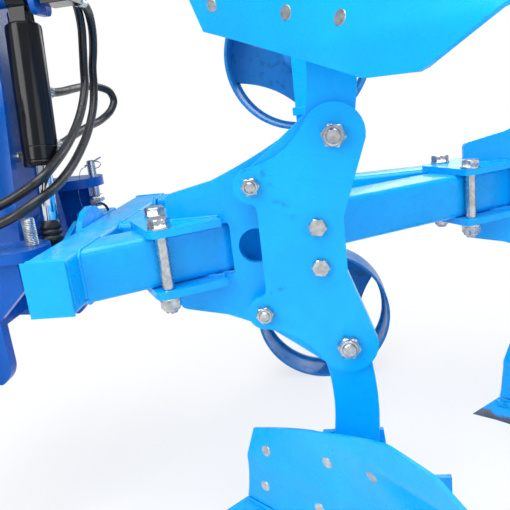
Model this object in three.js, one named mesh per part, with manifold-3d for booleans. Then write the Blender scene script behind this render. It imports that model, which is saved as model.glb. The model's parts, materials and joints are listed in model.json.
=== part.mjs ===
// Mounted reversible plough with three pairs of bodies, in millimetres, +X to the rear, +Y to the
// right-hand side, +Z up. The model is drawn around the turning axis and the front leg, and
// the whole group is then moved so that its origin is at the bottom centre of its box.
import * as THREE from "three";
import { mergeVertices } from "three/addons/utils/BufferGeometryUtils.js";
import Module from "manifold-3d";

const wasm = await Module();
wasm.setup();

// ---- driving dimensions -------------------------------------------------------------------
const GAP = 0.3; // clearance between pieces that touch
const MID_HEIGHT = 606; // frame mid-plane above the ground
const TUBE = 100; // height and width of the frame tubes
const TUBE_ROUND = 12.5; // outer corner radius of the frame tubes
const BEAM_ANGLE = THREE.MathUtils.degToRad(30.3); // main beam from the direction of travel
const SIDE_ANGLE = THREE.MathUtils.degToRad(5.3); // side beam from the direction of travel
const BEAM_Y = 40.4; // centre of the main beam at the front leg's pivots
const LEG_COUNT = 3;
const LEG_PITCH = 732; // along the main beam
const BEAM_END = 1412; // rear end of the main beam, along it
const CROSS_REAR = -458; // rear face of the front cross member
const CROSS_DEPTH = 80;
const CROSS_LEFT = -337;
const CROSS_RIGHT = 314;

const PIVOT_Z = 197; // leg pivot bolts above and below the mid-plane
const SHEAR = { x: -152, z: 122 }; // shear bolts
const COVER_Y = [-197, -185];
const SHANK_Y = [-184.7, -159.7];
const PLATE_Y = [-159.4, -144.4];
const LUG_Z = [50.5, 65.5];
const SOLE_Z = -MID_HEIGHT;

const WHEEL_RADIUS = 203;
const WHEEL_WIDTH = 108;
const WHEEL_Y = 470; // side of the wheels that faces the frame
const WHEELS = [
  { level: "lower", x: -60, z: WHEEL_RADIUS - MID_HEIGHT, phase: -11 },
  { level: "upper", x: -70, z: 374, phase: -2 },
]; // the phase is how far each wheel has rolled, in degrees

const MAST_X = -655; // rear face of the mast
const CYLINDER_X = -606; // plane that the turnover cylinder swings in
const CYLINDER_TOP = 520; // its upper pin above the turning axis
const CRANK = 75; // its lower pin from the turning axis
const SHAFT_RADIUS = 40;
const HITCH_Z = -170; // lower link pins below the turning axis
const HITCH_X = -860;
const STAND = { x: -785, y: -256 };

// ---- materials ----------------------------------------------------------------------------
const finish = (name, color, roughness, metalness) =>
  new THREE.MeshStandardMaterial({ name, color, roughness, metalness });
const BLUE = finish("blue_paint", 0x149cf0, 0.3, 0.0);
const DEEP_BLUE = finish("deep_blue_paint", 0x0b5ed0, 0.32, 0.0);
const BLACK = finish("black_paint", 0x17181a, 0.35, 0.0);
const CHROME = finish("chrome_rod", 0xd8dadc, 0.12, 1.0);
const ZINC = finish("zinc_plate", 0xb9bcc0, 0.35, 0.9);
const STEEL = finish("wear_steel", 0x6f7276, 0.45, 0.9);
const RUBBER = finish("black_rubber", 0x141414, 0.6, 0.0);

// ---- solids -------------------------------------------------------------------------------
function solid(geometry) {
  const bare = geometry.clone();
  bare.deleteAttribute("normal");
  bare.deleteAttribute("uv");
  const merged = mergeVertices(bare, 1e-4);
  return new wasm.Manifold(new wasm.Mesh({
    numProp: 3,
    vertProperties: new Float32Array(merged.attributes.position.array),
    triVerts: new Uint32Array(merged.index.array),
  }));
}

function geometryOf(manifold) {
  const mesh = manifold.getMesh();
  const geometry = new THREE.BufferGeometry();
  geometry.setAttribute("position", new THREE.BufferAttribute(new Float32Array(mesh.vertProperties), 3));
  geometry.setIndex(new THREE.BufferAttribute(new Uint32Array(mesh.triVerts), 1));
  return geometry;
}

const joined = (...parts) => parts.reduce((sum, part) => sum.add(part));

function extrude(shape, depth, curveSegments = 5) {
  return new THREE.ExtrudeGeometry(shape, { depth, curveSegments, bevelEnabled: false });
}

// A flat plate whose outline is drawn in the named plane, between two places across it.
function plateXZ(shape, [y0, y1], segments) {
  return solid(extrude(shape, y1 - y0, segments).rotateX(Math.PI / 2).translate(0, y1, 0));
}

function plateYZ(shape, [x0, x1], segments) {
  const turn = new THREE.Matrix4().makeBasis(
    new THREE.Vector3(0, 1, 0), new THREE.Vector3(0, 0, 1), new THREE.Vector3(1, 0, 0));
  return solid(extrude(shape, x1 - x0, segments).applyMatrix4(turn).translate(x0, 0, 0));
}

function plateXY(shape, [z0, z1], segments) {
  return solid(extrude(shape, z1 - z0, segments).translate(0, 0, z0));
}

function box([x0, x1], [y0, y1], [z0, z1]) {
  return solid(new THREE.BoxGeometry(x1 - x0, y1 - y0, z1 - z0)
    .translate((x0 + x1) / 2, (y0 + y1) / 2, (z0 + z1) / 2));
}

function bar(radius, from, to, sides = 20, endRadius = radius) {
  const a = new THREE.Vector3(...from);
  const b = new THREE.Vector3(...to);
  const turn = new THREE.Quaternion().setFromUnitVectors(
    new THREE.Vector3(0, 1, 0), b.clone().sub(a).normalize());
  const centre = a.clone().add(b).multiplyScalar(0.5);
  return solid(new THREE.CylinderGeometry(endRadius, radius, a.distanceTo(b), sides)
    .applyQuaternion(turn).translate(centre.x, centre.y, centre.z));
}

function polygon(points) {
  return new THREE.Shape(points.map((p) => (p.isVector2 ? p : new THREE.Vector2(...p))));
}

function arcPoints(radius, from, to, steps) {
  return Array.from({ length: steps + 1 }, (_, k) => {
    const angle = from + (to - from) * k / steps;
    return new THREE.Vector2(radius * Math.cos(angle), radius * Math.sin(angle));
  });
}

function disc(a, b, radius) {
  const shape = new THREE.Shape();
  shape.absarc(a, b, radius, 0, 2 * Math.PI);
  return shape;
}

function roundedRect(a0, a1, b0, b1, r) {
  const shape = new THREE.Shape();
  shape.moveTo(a0 + r, b0);
  shape.lineTo(a1 - r, b0);
  shape.absarc(a1 - r, b0 + r, r, -Math.PI / 2, 0);
  shape.lineTo(a1, b1 - r);
  shape.absarc(a1 - r, b1 - r, r, 0, Math.PI / 2);
  shape.lineTo(a0 + r, b1);
  shape.absarc(a0 + r, b1 - r, r, Math.PI / 2, Math.PI);
  shape.lineTo(a0, b0 + r);
  shape.absarc(a0 + r, b0 + r, r, Math.PI, 1.5 * Math.PI);
  return shape;
}

// A tube's outer form along X from x0 to x1, turned about Z at (0, y).
function tubeAlong(x0, x1, y, width, angle = 0) {
  const section = roundedRect(-width / 2, width / 2, -TUBE / 2, TUBE / 2, TUBE_ROUND);
  const turn = new THREE.Matrix4().makeBasis(
    new THREE.Vector3(0, 1, 0), new THREE.Vector3(0, 0, 1), new THREE.Vector3(1, 0, 0));
  return solid(extrude(section, x1 - x0, 3).applyMatrix4(turn)
    .translate(x0, 0, 0).rotateZ(angle).translate(0, y, 0));
}

// Everything on one side of a plane, as a large block: the side that the normal points to.
function halfSpace(point, angle, size = 4000) {
  return solid(new THREE.BoxGeometry(size, size, size).translate(size / 2, 0, 0)
    .rotateZ(angle).translate(point[0], point[1], 0));
}

const mirrorZ = (manifold) => manifold.mirror([0, 0, 1]);

const root = new THREE.Group();
const plough = new THREE.Group();
root.add(plough);

function node(name, manifold, material, parent = plough) {
  const mesh = new THREE.Mesh(geometryOf(manifold), material);
  mesh.name = name;
  parent.add(mesh);
  return mesh;
}

// ---- headstock ----------------------------------------------------------------------------
const headstock = new THREE.Group();
plough.add(headstock);

// Half width of the mast at three heights; it narrows up to the waist and then stays slim.
const MAST_BASE = { z: -75, half: 136 };
const MAST_WAIST = { z: 352, half: 54 };
const MAST_HEAD = { z: 560, half: 50 };
const MAST_FRONT = -800;
const PLATE = 12;
const HOUSING_RADIUS = 66;

function mastHalf(z) {
  const [low, high] = z < MAST_WAIST.z ? [MAST_BASE, MAST_WAIST] : [MAST_WAIST, MAST_HEAD];
  return low.half + (high.half - low.half) * (z - low.z) / (high.z - low.z);
}

function mast() {
  const levels = [MAST_BASE, MAST_WAIST, MAST_HEAD];
  const face = polygon([[-MAST_BASE.half, MAST_BASE.z], [MAST_BASE.half, MAST_BASE.z], [mastHalf(120), 120],
    [12, 120], [30, MAST_WAIST.z + 4], [30, 500], [MAST_HEAD.half, 520], [MAST_HEAD.half, MAST_HEAD.z],
    [-MAST_HEAD.half, MAST_HEAD.z], [-MAST_WAIST.half, MAST_WAIST.z]]);
  const rear = plateYZ(face, [MAST_X - PLATE, MAST_X], 6);
  const recess = polygon([[-20, 110], [mastHalf(110) - 1, 110], [mastHalf(MAST_WAIST.z) - 1, MAST_WAIST.z],
    [MAST_HEAD.half - 1, 530], [-20, 530]]);
  recess.holes.push(disc(38, 286, 22));
  const backing = plateYZ(recess, [MAST_X - 2.5 * PLATE, MAST_X - PLATE + 1], 8);
  const sides = [-1, 1].map((side) => {
    const skirt = polygon([...levels.map(({ z, half }) => [side * half, z]),
      ...levels.toReversed().map(({ z, half }) => [side * (half - PLATE), z])]);
    const front = polygon([[MAST_FRONT, MAST_BASE.z], [MAST_X, MAST_BASE.z], [MAST_X, MAST_HEAD.z],
      [-712, MAST_HEAD.z], [-740, 430], [MAST_FRONT, 240]]);
    return plateYZ(skirt, [MAST_FRONT, MAST_X - 1], 4).intersect(plateXZ(front, [-200, 200], 4));
  });
  const floorHalf = mastHalf(MAST_BASE.z + PLATE) - PLATE / 2;
  const floor = box([MAST_FRONT, MAST_X - 1], [-floorHalf, floorHalf], [MAST_BASE.z, MAST_BASE.z + PLATE]);
  const head = box([MAST_X - 1, -559], [-48, 48], [MAST_HEAD.z - 2, MAST_HEAD.z + 14]);
  const ear = plateYZ(roundedRect(-40, 40, CYLINDER_TOP - 38, MAST_HEAD.z + 10, 20), [-571, -559], 4);
  const pin = bar(15, [MAST_X - 20, 0, CYLINDER_TOP], [-550, 0, CYLINDER_TOP]);
  const cap = box([-712, MAST_X], [-MAST_HEAD.half, MAST_HEAD.half], [MAST_HEAD.z - PLATE, MAST_HEAD.z]);
  const shaftBore = bar(HOUSING_RADIUS + GAP, [-900, 0, 0], [-600, 0, 0], 24);
  return joined(rear, backing, ...sides, floor, head, ear, pin, cap).subtract(shaftBore);
}

// The two arms that carry the tilt stops; each has a round end.
function stopArm(side, top) {
  const inner = 112;
  const outer = 226;
  const middle = (inner + outer) / 2;
  const radius = (outer - inner) / 2;
  const endX = -568 - radius;
  const shape = new THREE.Shape();
  shape.moveTo(-780, inner);
  shape.lineTo(endX, inner);
  shape.absarc(endX, middle, radius, -Math.PI / 2, Math.PI / 2);
  shape.lineTo(-780, outer);
  const flat = plateXY(shape, [top - 22, top], 8);
  const gusset = plateXZ(polygon([[-780, top - 80], [-730, top - 80], [-660, top - 20], [-780, top - 20]]),
    [middle - 6, middle + 6], 2);
  const tongue = box([-780, -660], [80, inner + 2], [top - 22, top]);
  const arm = joined(flat, gusset, tongue);
  return side > 0 ? arm : arm.mirror([0, 1, 0]);
}

const mastBody = joined(mast(), stopArm(-1, 42), stopArm(1, 130));
node("headstock_mast", mastBody, DEEP_BLUE, headstock);

function bearingHousing() {
  const barrel = bar(HOUSING_RADIUS, [-812, 0, 0], [MAST_X + 8, 0, 0], 24);
  const flange = plateYZ(disc(0, 0, 82), [MAST_X + GAP, MAST_X + 8], 8);
  const bore = bar(SHAFT_RADIUS + 0.5, [-900, 0, 0], [-600, 0, 0], 20);
  return joined(barrel, flange).subtract(bore);
}
node("bearing_housing", bearingHousing(), DEEP_BLUE, headstock);

// Two cheeks under the stop arms carry the cross shaft with the lower link pins.
const CHEEK_Y = 200;
const CHEEK_THICK = 24;
function cheek(side, top) {
  const outline = polygon([[-790, top], [-615, top], [-615, -38], [-678, -96], [-678, -190]]);
  outline.absarc(-728, -190, 50, 0, -1.1, true);
  outline.lineTo(HITCH_X - 20, HITCH_Z - 56);
  outline.absarc(HITCH_X, HITCH_Z, 56, -1.9, -4.0, true);
  const plate = plateXZ(outline, [CHEEK_Y - CHEEK_THICK / 2, CHEEK_Y + CHEEK_THICK / 2], 4);
  const tie = box([-800, -700], [MAST_BASE.half + 1, CHEEK_Y], [MAST_BASE.z, MAST_BASE.z + PLATE]);
  const pair = joined(plate, tie);
  return side > 0 ? pair : pair.mirror([0, 1, 0]);
}

function lowerLinkShaft() {
  const beam = box([HITCH_X - 30, HITCH_X + 30], [-330, 330], [HITCH_Z - 30, HITCH_Z + 30]);
  const pins = [-1, 1].map((side) => bar(14, [HITCH_X, side * 300, HITCH_Z], [HITCH_X, side * 442, HITCH_Z]));
  const collars = [-1, 1].map((side) => bar(24, [HITCH_X, side * 320, HITCH_Z], [HITCH_X, side * 342, HITCH_Z]));
  return joined(beam, cheek(-1, 20 - GAP), cheek(1, 108 - GAP), ...pins, ...collars);
}
node("lower_link_shaft", lowerLinkShaft(), DEEP_BLUE, headstock);

const TOP_LINK = { x: -790, z: 262 };
function topLinkBracket() {
  const [low, high] = [TOP_LINK.z - 60, TOP_LINK.z + 50];
  const outline = new THREE.Shape();
  outline.moveTo(-700, high);
  outline.lineTo(-740, high);
  outline.absarc(TOP_LINK.x - 30, TOP_LINK.z, 34, 1.9, 1.5 * Math.PI);
  outline.lineTo(-700, low);
  const ears = [-1, 1].map((side) => plateXZ(outline, [side * 38 - 7, side * 38 + 7], 5));
  const inside = (z) => mastHalf(z) - PLATE - GAP;
  const back = plateYZ(polygon([[-inside(low), low], [inside(low), low], [inside(high), high],
    [-inside(high), high]]), [-712, -698]);
  const pin = bar(12.5, [TOP_LINK.x - 30, -72, TOP_LINK.z], [TOP_LINK.x - 30, 72, TOP_LINK.z]);
  return joined(...ears, back, pin);
}
node("top_link_bracket", topLinkBracket(), ZINC, headstock);

node("tilt_screw", joined(
  bar(13, [-604, -160, -23], [-604, -160, 96], 16),
  bar(22, [-604, -160, -2], [-604, -160, 42 - 22 - GAP], 6),
), ZINC, headstock);
node("lock_pin", joined(
  bar(10, [-588, 166, 56], [-588, 166, 170], 14),
  bar(17, [-588, 166, 66], [-588, 166, 84], 6),
), ZINC, headstock);

// The stop arms are bored for the screw and the pin.
const armBores = joined(
  bar(13 + GAP, [-604, -160, -40], [-604, -160, 110], 16),
  bar(10 + GAP, [-588, 166, 50], [-588, 166, 180], 14),
);
headstock.children[0].geometry = geometryOf(mastBody.subtract(armBores));

// Parking stand: a sleeve on the headstock and a leg that slides in it.
const SLEEVE_Z = [-298, -90];
function standSleeve() {
  const tube = bar(42, [STAND.x, STAND.y, SLEEVE_Z[0]], [STAND.x, STAND.y, SLEEVE_Z[1]], 20);
  const lugs = [-160, -110].map((z) => box([STAND.x - 30, STAND.x + 30],
    [STAND.y + 30, -CHEEK_Y - CHEEK_THICK / 2 - GAP], [z, z + 12]));
  const pin = bar(8, [STAND.x, STAND.y - 64, -250], [STAND.x, STAND.y - 32, -250], 10);
  const bore = bar(31, [STAND.x, STAND.y, -400], [STAND.x, STAND.y, 0], 20);
  return joined(tube, ...lugs, pin).subtract(bore);
}
node("stand_sleeve", standSleeve(), DEEP_BLUE, headstock);
node("stand_leg", joined(
  bar(25, [STAND.x, STAND.y, SOLE_Z + 8], [STAND.x, STAND.y, -96], 20),
  plateXY(roundedRect(STAND.x - 75, STAND.x + 75, STAND.y - 75, STAND.y + 75, 18), [SOLE_Z, SOLE_Z + 10], 3),
), DEEP_BLUE, headstock);

// Valve block, hose holder and the parked couplers.
node("turnover_valve", joined(
  box([-550 + GAP, -490], [-34, 34], [498, 556]),
  bar(12, [-530, 34, 530], [-530, 56, 530], 16),
  bar(12, [-508, 34, 512], [-508, 56, 512], 16),
), BLACK, headstock);
const HOLDER = { x: -735, z: 330, y: [-150, -190] };
node("hose_holder", joined(
  box([-770, -700], [HOLDER.y[1] - 22, -50], [HOLDER.z, HOLDER.z + 8]),
  box([-770, -700], [-82, -50], [HOLDER.z - 46, HOLDER.z + 8]),
).subtract(joined(
  ...HOLDER.y.map((y) => bar(15, [HOLDER.x, y, 200], [HOLDER.x, y, 400], 16)),
  mastBody,
  plateYZ(polygon([[-MAST_BASE.half - GAP, MAST_BASE.z], [0, MAST_BASE.z], [0, MAST_HEAD.z],
    [-MAST_HEAD.half - GAP, MAST_HEAD.z], [-MAST_WAIST.half - GAP, MAST_WAIST.z]]), [-801, -640]),
)), ZINC, headstock);
HOLDER.y.forEach((y, i) => node(`coupler_${"ab"[i]}`, joined(
  bar(12, [HOLDER.x, y, HOLDER.z - 60], [HOLDER.x, y, HOLDER.z - 8], 12),
  bar(18, [HOLDER.x, y, HOLDER.z - 26], [HOLDER.x, y, HOLDER.z - GAP], 6),
  bar(14.5, [HOLDER.x, y, HOLDER.z - 10], [HOLDER.x, y, HOLDER.z + 44], 16),
), ZINC, headstock));

// Hoses: chosen routes, one point each 40 to 80 mm.
const HOSE = 9.5;
function hose(points, steps) {
  const path = new THREE.CatmullRomCurve3(points.map((p) => new THREE.Vector3(...p)), false, "centripetal");
  return solid(new THREE.ExtrudeGeometry(disc(0, 0, HOSE), { steps, curveSegments: 4, extrudePath: path, bevelEnabled: false }));
}
const HOSE_A = [
  [-530, 56.5, 530], [-530, 84, 529], [-534, 120, 512], [-542, 146, 472], [-551, 155, 428], [-555, 150, 386],
  [-555, 136, 345], [-554, 95, 298], [-554, 39, 255], [-554, -25, 221], [-554, -98, 192], [-563, -156, 168],
  [-601, -173, 146], [-645, -180, 128], [-692, -186, 116], [-722, -182, 130], [-737, -168, 166],
  [-736, -154, 206], [-735, -150, 240], [-735, -150, 269.5],
];
const HOSE_B = [
  [-508, 56.5, 512], [-508, 86, 511], [-514, 130, 498], [-526, 168, 464], [-540, 190, 424], [-552, 197, 384],
  [-554, 190, 345], [-554, 163, 296], [-554, 104, 242], [-554, 44, 206], [-554, -26, 174], [-554, -109, 148],
  [-563, -174, 132], [-593, -200, 114], [-636, -207, 97], [-690, -211, 86], [-722, -214, 98],
  [-737, -208, 132], [-737, -198, 172], [-735, -191, 216], [-735, -190, 246], [-735, -190, 269.5],
];
node("hose_a", hose(HOSE_A, 28), RUBBER, headstock);
node("hose_b", hose(HOSE_B, 30), RUBBER, headstock);

// ---- turnover cylinder --------------------------------------------------------------------
const cylinder = new THREE.Group();
cylinder.position.set(CYLINDER_X, 0, CYLINDER_TOP);
cylinder.rotation.x = -Math.atan2(CRANK, CYLINDER_TOP);
plough.add(cylinder);
const CYLINDER_REACH = Math.hypot(CRANK, CYLINDER_TOP);
const BARREL = { radius: 36.5, top: -52, end: -340 };

function barrel() {
  const tube = bar(BARREL.radius, [0, 0, BARREL.end], [0, 0, BARREL.top], 20);
  const eye = bar(28, [-20, 0, 0], [20, 0, 0], 24);
  const neck = box([-20, 20], [-24, 24], [BARREL.top - 4, 0]);
  const ports = [-175, -290].map((z) => bar(11, [0, 0, z], [0, 54.2, z], 14));
  const bore = bar(15.4, [-60, 0, 0], [60, 0, 0], 20);
  const rodBore = bar(18, [0, 0, -500], [0, 0, -80], 24);
  return joined(tube, eye, neck, ...ports).subtract(joined(bore, rodBore));
}
node("cylinder_barrel", barrel(), BLACK, cylinder);

function rod() {
  const stem = bar(17.5, [0, 0, -CYLINDER_REACH + 20], [0, 0, -236], 24);
  const eye = bar(26, [-20, 0, -CYLINDER_REACH], [20, 0, -CYLINDER_REACH], 24);
  const pin = bar(15, [-22, 0, -CYLINDER_REACH], [22, 0, -CYLINDER_REACH], 20);
  return joined(stem, eye, pin);
}
node("cylinder_rod", rod(), CHROME, cylinder);

function rodBoot() {
  const base = -CYLINDER_REACH + 27;
  const profile = [[18.6, base], [22, base], [23, base + 8], [20, base + 14], [23, base + 22], [20, base + 29],
    [22, base + 36], [19.5, base + 42], [18.6, base + 42], [18.6, base]];
  return solid(new THREE.LatheGeometry(profile.map(([r, z]) => new THREE.Vector2(r, z)), 12).rotateX(Math.PI / 2));
}
node("rod_boot", rodBoot(), RUBBER, cylinder);

const HOSE_C = [
  [-606, 29, 339], [-606, 60, 334.5], [-606, 120, 336], [-603, 180, 342], [-598, 250, 347], [-584, 300, 344],
  [-566, 328, 330], [-560, 332, 308], [-566, 316, 284], [-580, 270, 262], [-592, 200, 249], [-600, 130, 236],
  [-605, 80, 224], [-606, 44, 220.7], [-606, 12.8, 225.2],
];
node("hose_c", hose(HOSE_C, 20), RUBBER);

// ---- plough frame -------------------------------------------------------------------------
const frame = new THREE.Group();
plough.add(frame);

const crossSection = roundedRect(CROSS_REAR - CROSS_DEPTH, CROSS_REAR, -TUBE / 2, TUBE / 2, 10);
const crossMember = plateXZ(crossSection, [CROSS_LEFT, CROSS_RIGHT], 3);
node("cross_member", crossMember, BLUE, frame);

// The shaft is cranked: the rod's eye and its pin pass between the two cheeks.
const SHAFT = { front: -824, cheeks: [[-642, -630], [-582, -570]], rear: CROSS_REAR - CROSS_DEPTH - GAP };
function crankCheek(place) {
  const outline = new THREE.Shape();
  outline.absarc(0, 0, 54, -2.1, 2.1);
  outline.absarc(-CRANK, 0, 27, 1.9, 2 * Math.PI - 1.9);
  return plateYZ(outline, place, 5);
}
node("turning_shaft", joined(
  bar(SHAFT_RADIUS, [SHAFT.front, 0, 0], [SHAFT.cheeks[0][1], 0, 0], 20),
  plateYZ(disc(0, 0, 52), [SHAFT.front - 8, SHAFT.front], 6),
  crankCheek(SHAFT.cheeks[0]),
), DEEP_BLUE, frame);
node("crank_flange", joined(
  bar(SHAFT_RADIUS, [SHAFT.cheeks[1][0], 0, 0], [SHAFT.rear, 0, 0], 20),
  crankCheek(SHAFT.cheeks[1]),
  plateYZ(disc(0, 0, 84), [SHAFT.rear - 13.7, SHAFT.rear], 8),
), DEEP_BLUE, frame);

// The lug that meets one tilt stop on each side of the turn.
node("stop_lug", joined(
  plateXY(roundedRect(-625, SHAFT.rear, 106, 158, 10), [28, 50], 3),
  plateXY(polygon([[-578, 50], [SHAFT.rear, 50], [SHAFT.rear, 130], [-578, 130]]), [28, 50], 3),
  plateXZ(polygon([[-600, 28.5], [SHAFT.rear, 28.5], [SHAFT.rear, -30]]), [110, 122], 2),
).subtract(bar(84 + GAP, [-552 - GAP, 0, 0], [-530, 0, 0], 32)), BLUE, frame);

const mainBeam = tubeAlong(-700, BEAM_END, BEAM_Y, TUBE, BEAM_ANGLE)
  .intersect(halfSpace([CROSS_REAR + GAP, 0], 0));
node("main_beam", mainBeam, BLUE, frame);
const mainBeamRoom = tubeAlong(-700, BEAM_END + 40, BEAM_Y, TUBE + 2 * GAP, BEAM_ANGLE);
const outsideMain = halfSpace([0, BEAM_Y], BEAM_ANGLE + Math.PI / 2);

const SIDE_OUTER_Y = 352;
const SIDE_WIDTH = 80;
const sideY = SIDE_OUTER_Y - SIDE_WIDTH / 2 / Math.cos(SIDE_ANGLE);
const sideBeam = tubeAlong(-600, 900, sideY, SIDE_WIDTH, SIDE_ANGLE)
  .intersect(halfSpace([CROSS_REAR + GAP, 0], 0)).intersect(outsideMain).subtract(mainBeamRoom);
node("side_beam", sideBeam, BLUE, frame);

const axisTube = tubeAlong(CROSS_REAR + GAP, 300, 14, 152).intersect(outsideMain).subtract(mainBeamRoom);
node("axis_tube", axisTube, BLUE, frame);

// ---- legs ---------------------------------------------------------------------------------
function addRightEdge(shape, inset) {
  const r = 56 - inset;
  shape.lineTo(8 - inset, -52);
  shape.lineTo(8 - inset, 52);
  shape.absarc(0, PIVOT_Z, r, -0.18, 2.45);
}

function coverOutline() {
  const shape = new THREE.Shape();
  shape.absarc(0, -PIVOT_Z, 56, -2.45, 0.18);
  addRightEdge(shape, 0);
  shape.quadraticCurveTo(-80, 168, SHEAR.x + 3, SHEAR.z + 33);
  shape.absarc(SHEAR.x, SHEAR.z, 33, 1.48, 4.6);
  shape.quadraticCurveTo(-146, 86, -146, 70);
  shape.lineTo(-146, -70);
  shape.quadraticCurveTo(-146, -86, SHEAR.x - 4, -SHEAR.z + 32.8);
  shape.absarc(SHEAR.x, -SHEAR.z, 33, 2 * Math.PI - 4.6, 2 * Math.PI - 1.48);
  shape.quadraticCurveTo(-80, -168, -43, -PIVOT_Z - 36);
  return shape;
}

function bracketOutline() {
  const shape = new THREE.Shape();
  const half = 53;
  shape.absarc(0, -PIVOT_Z, 54, -2.5, 0.18);
  addRightEdge(shape, 2);
  shape.quadraticCurveTo(-110, 181, -232, 133);
  shape.lineTo(-308, 117);
  shape.quadraticCurveTo(-324, 114, -324, 100);
  shape.lineTo(-324, half);
  shape.lineTo(-217, half);
  shape.quadraticCurveTo(-207, half, -207, half - 10);
  shape.lineTo(-207, -half + 10);
  shape.quadraticCurveTo(-207, -half, -217, -half);
  shape.lineTo(-324, -half);
  shape.lineTo(-324, -100);
  shape.quadraticCurveTo(-324, -114, -308, -117);
  shape.lineTo(-232, -133);
  shape.quadraticCurveTo(-110, -181, -43, -PIVOT_Z - 34);
  shape.holes.push(disc(-159, 2, 34));
  return shape;
}

// Clamp lugs lie on the beam, so their outline is drawn along it.
const LUG = { front: -438, step: -300, rear: -92, half: 84 };
function lug([z0, z1]) {
  const turnToBeam = (manifold) => manifold
    .rotate([0, 0, THREE.MathUtils.radToDeg(BEAM_ANGLE)]).translate([0, BEAM_Y, 0]);
  const full = turnToBeam(plateXY(roundedRect(LUG.front, LUG.rear, -LUG.half, LUG.half, 22), [z0, z1], 2));
  const wedge = turnToBeam(box([LUG.step, 400], [-400, 200], [z0 - 1, z1 + 1]));
  const ahead = box([-600, 400], [-600, PLATE_Y[0] + 6], [z0 - 2, z1 + 2]);
  return full.subtract(wedge.intersect(ahead));
}

function bracket() {
  const plate = plateXZ(bracketOutline(), PLATE_Y, 12);
  return joined(plate, lug(LUG_Z), lug([-LUG_Z[1], -LUG_Z[0]]));
}

// A lower shank: its ear takes the shear bolt, its foot carries the body.
function shank() {
  const shape = new THREE.Shape();
  shape.absarc(SHEAR.x, -SHEAR.z, 26, 1.0, 4.1);
  shape.quadraticCurveTo(-96, -196, -46, -236);
  shape.quadraticCurveTo(-39, -262, -37, -300);
  shape.quadraticCurveTo(-34, -340, -40, -390);
  shape.quadraticCurveTo(-50, -460, -74, -520);
  shape.lineTo(26, -520);
  shape.quadraticCurveTo(44, -450, 49, -380);
  shape.quadraticCurveTo(54, -310, 41, -232);
  shape.absarc(0, -PIVOT_Z, 44, -0.9, 1.6);
  return plateXZ(shape, SHANK_Y, 4);
}

// ---- plough bodies ------------------------------------------------------------------------
// Heights h are above the sole. The shin line is the front edge of the mouldboard.
const WALL_Y = -148; // furrow wall side of a body
const SHIN_Y = WALL_Y - 3;
const BOARD = 8; // mouldboard thickness
const BOARD_LOW = 46;
const BOARD_HIGH = 324;
const BOARD_LENGTH = 540;
const SHIN = { x: -232, low: 130, sweep: 23, high: 148, lean: 0.328 };

function shinX(h) {
  const below = Math.max(SHIN.low - h, 0) / SHIN.low;
  return SHIN.x - SHIN.sweep * below ** 2 + SHIN.lean * Math.max(h - SHIN.high, 0);
}

function boardPoint(s, h) {
  const rise = h / BOARD_HIGH;
  const along = s / BOARD_LENGTH;
  const angle = THREE.MathUtils.degToRad(40 - 5 * Math.sin(Math.PI * Math.min(rise * 1.2, 1)) + 4 * rise);
  const curl = 90 * along ** 2 * rise ** 2;
  return new THREE.Vector3(
    shinX(h) + s * Math.cos(angle) - 0.35 * curl,
    SHIN_Y - s * Math.sin(angle) - curl,
    SOLE_Z + h);
}

function boardEdge(s) {
  const along = s / BOARD_LENGTH;
  const low = BOARD_LOW + 22 * Math.max(along - 0.62, 0) / 0.38;
  const high = BOARD_HIGH - 112 * Math.max(0.58 - along, 0) / 0.58 - 60 * Math.max(along - 0.76, 0) / 0.24;
  return [low, high];
}

// Closed solid between two offsets behind the working face.
function boardSolid(offsetFront, offsetBack, margin = 0, columns = 7, rows = 5) {
  const grid = [];
  for (let i = 0; i <= columns; i += 1) {
    for (let j = 0; j <= rows; j += 1) {
      const s = -margin + (BOARD_LENGTH + 2 * margin - 110 * (1 - j / rows)) * (i / columns);
      const [low, high] = boardEdge(Math.max(s, 0));
      const h = low - margin + (high - low + 2 * margin) * (j / rows);
      grid.push({ s, h });
    }
  }
  const normal = ({ s, h }) => {
    const here = boardPoint(s, h);
    const du = boardPoint(s + 4, h).sub(here);
    const dv = boardPoint(s, h + 4).sub(here);
    return dv.cross(du).normalize();
  };
  const faces = [offsetFront, offsetBack].map((offset) => grid.map((place) => (typeof offset === "number"
    ? boardPoint(place.s, place.h).addScaledVector(normal(place), offset)
    : boardPoint(place.s, place.h).add(offset))));
  const positions = faces.flat().flatMap((p) => p.toArray());
  const count = grid.length;
  const at = (i, j) => i * (rows + 1) + j;
  const index = [];
  for (let i = 0; i < columns; i += 1) {
    for (let j = 0; j < rows; j += 1) {
      const quad = [at(i, j), at(i + 1, j), at(i + 1, j + 1), at(i, j + 1)];
      index.push(quad[0], quad[1], quad[2], quad[0], quad[2], quad[3]);
      index.push(count + quad[0], count + quad[2], count + quad[1], count + quad[0], count + quad[3], count + quad[2]);
    }
  }
  const rim = [];
  for (let i = 0; i < columns; i += 1) rim.push(at(i, 0));
  for (let j = 0; j < rows; j += 1) rim.push(at(columns, j));
  for (let i = columns; i > 0; i -= 1) rim.push(at(i, rows));
  for (let j = rows; j > 0; j -= 1) rim.push(at(0, j));
  rim.forEach((a, k) => {
    const b = rim[(k + 1) % rim.length];
    index.push(a, count + b, b, a, count + a, count + b);
  });
  const geometry = new THREE.BufferGeometry();
  geometry.setAttribute("position", new THREE.Float32BufferAttribute(positions, 3));
  geometry.setIndex(index);
  return solid(geometry);
}

const mouldboard = boardSolid(0, BOARD);
const boardRoom = boardSolid(new THREE.Vector3(-260, -220, 0), BOARD + 1.2, 3);

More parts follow.
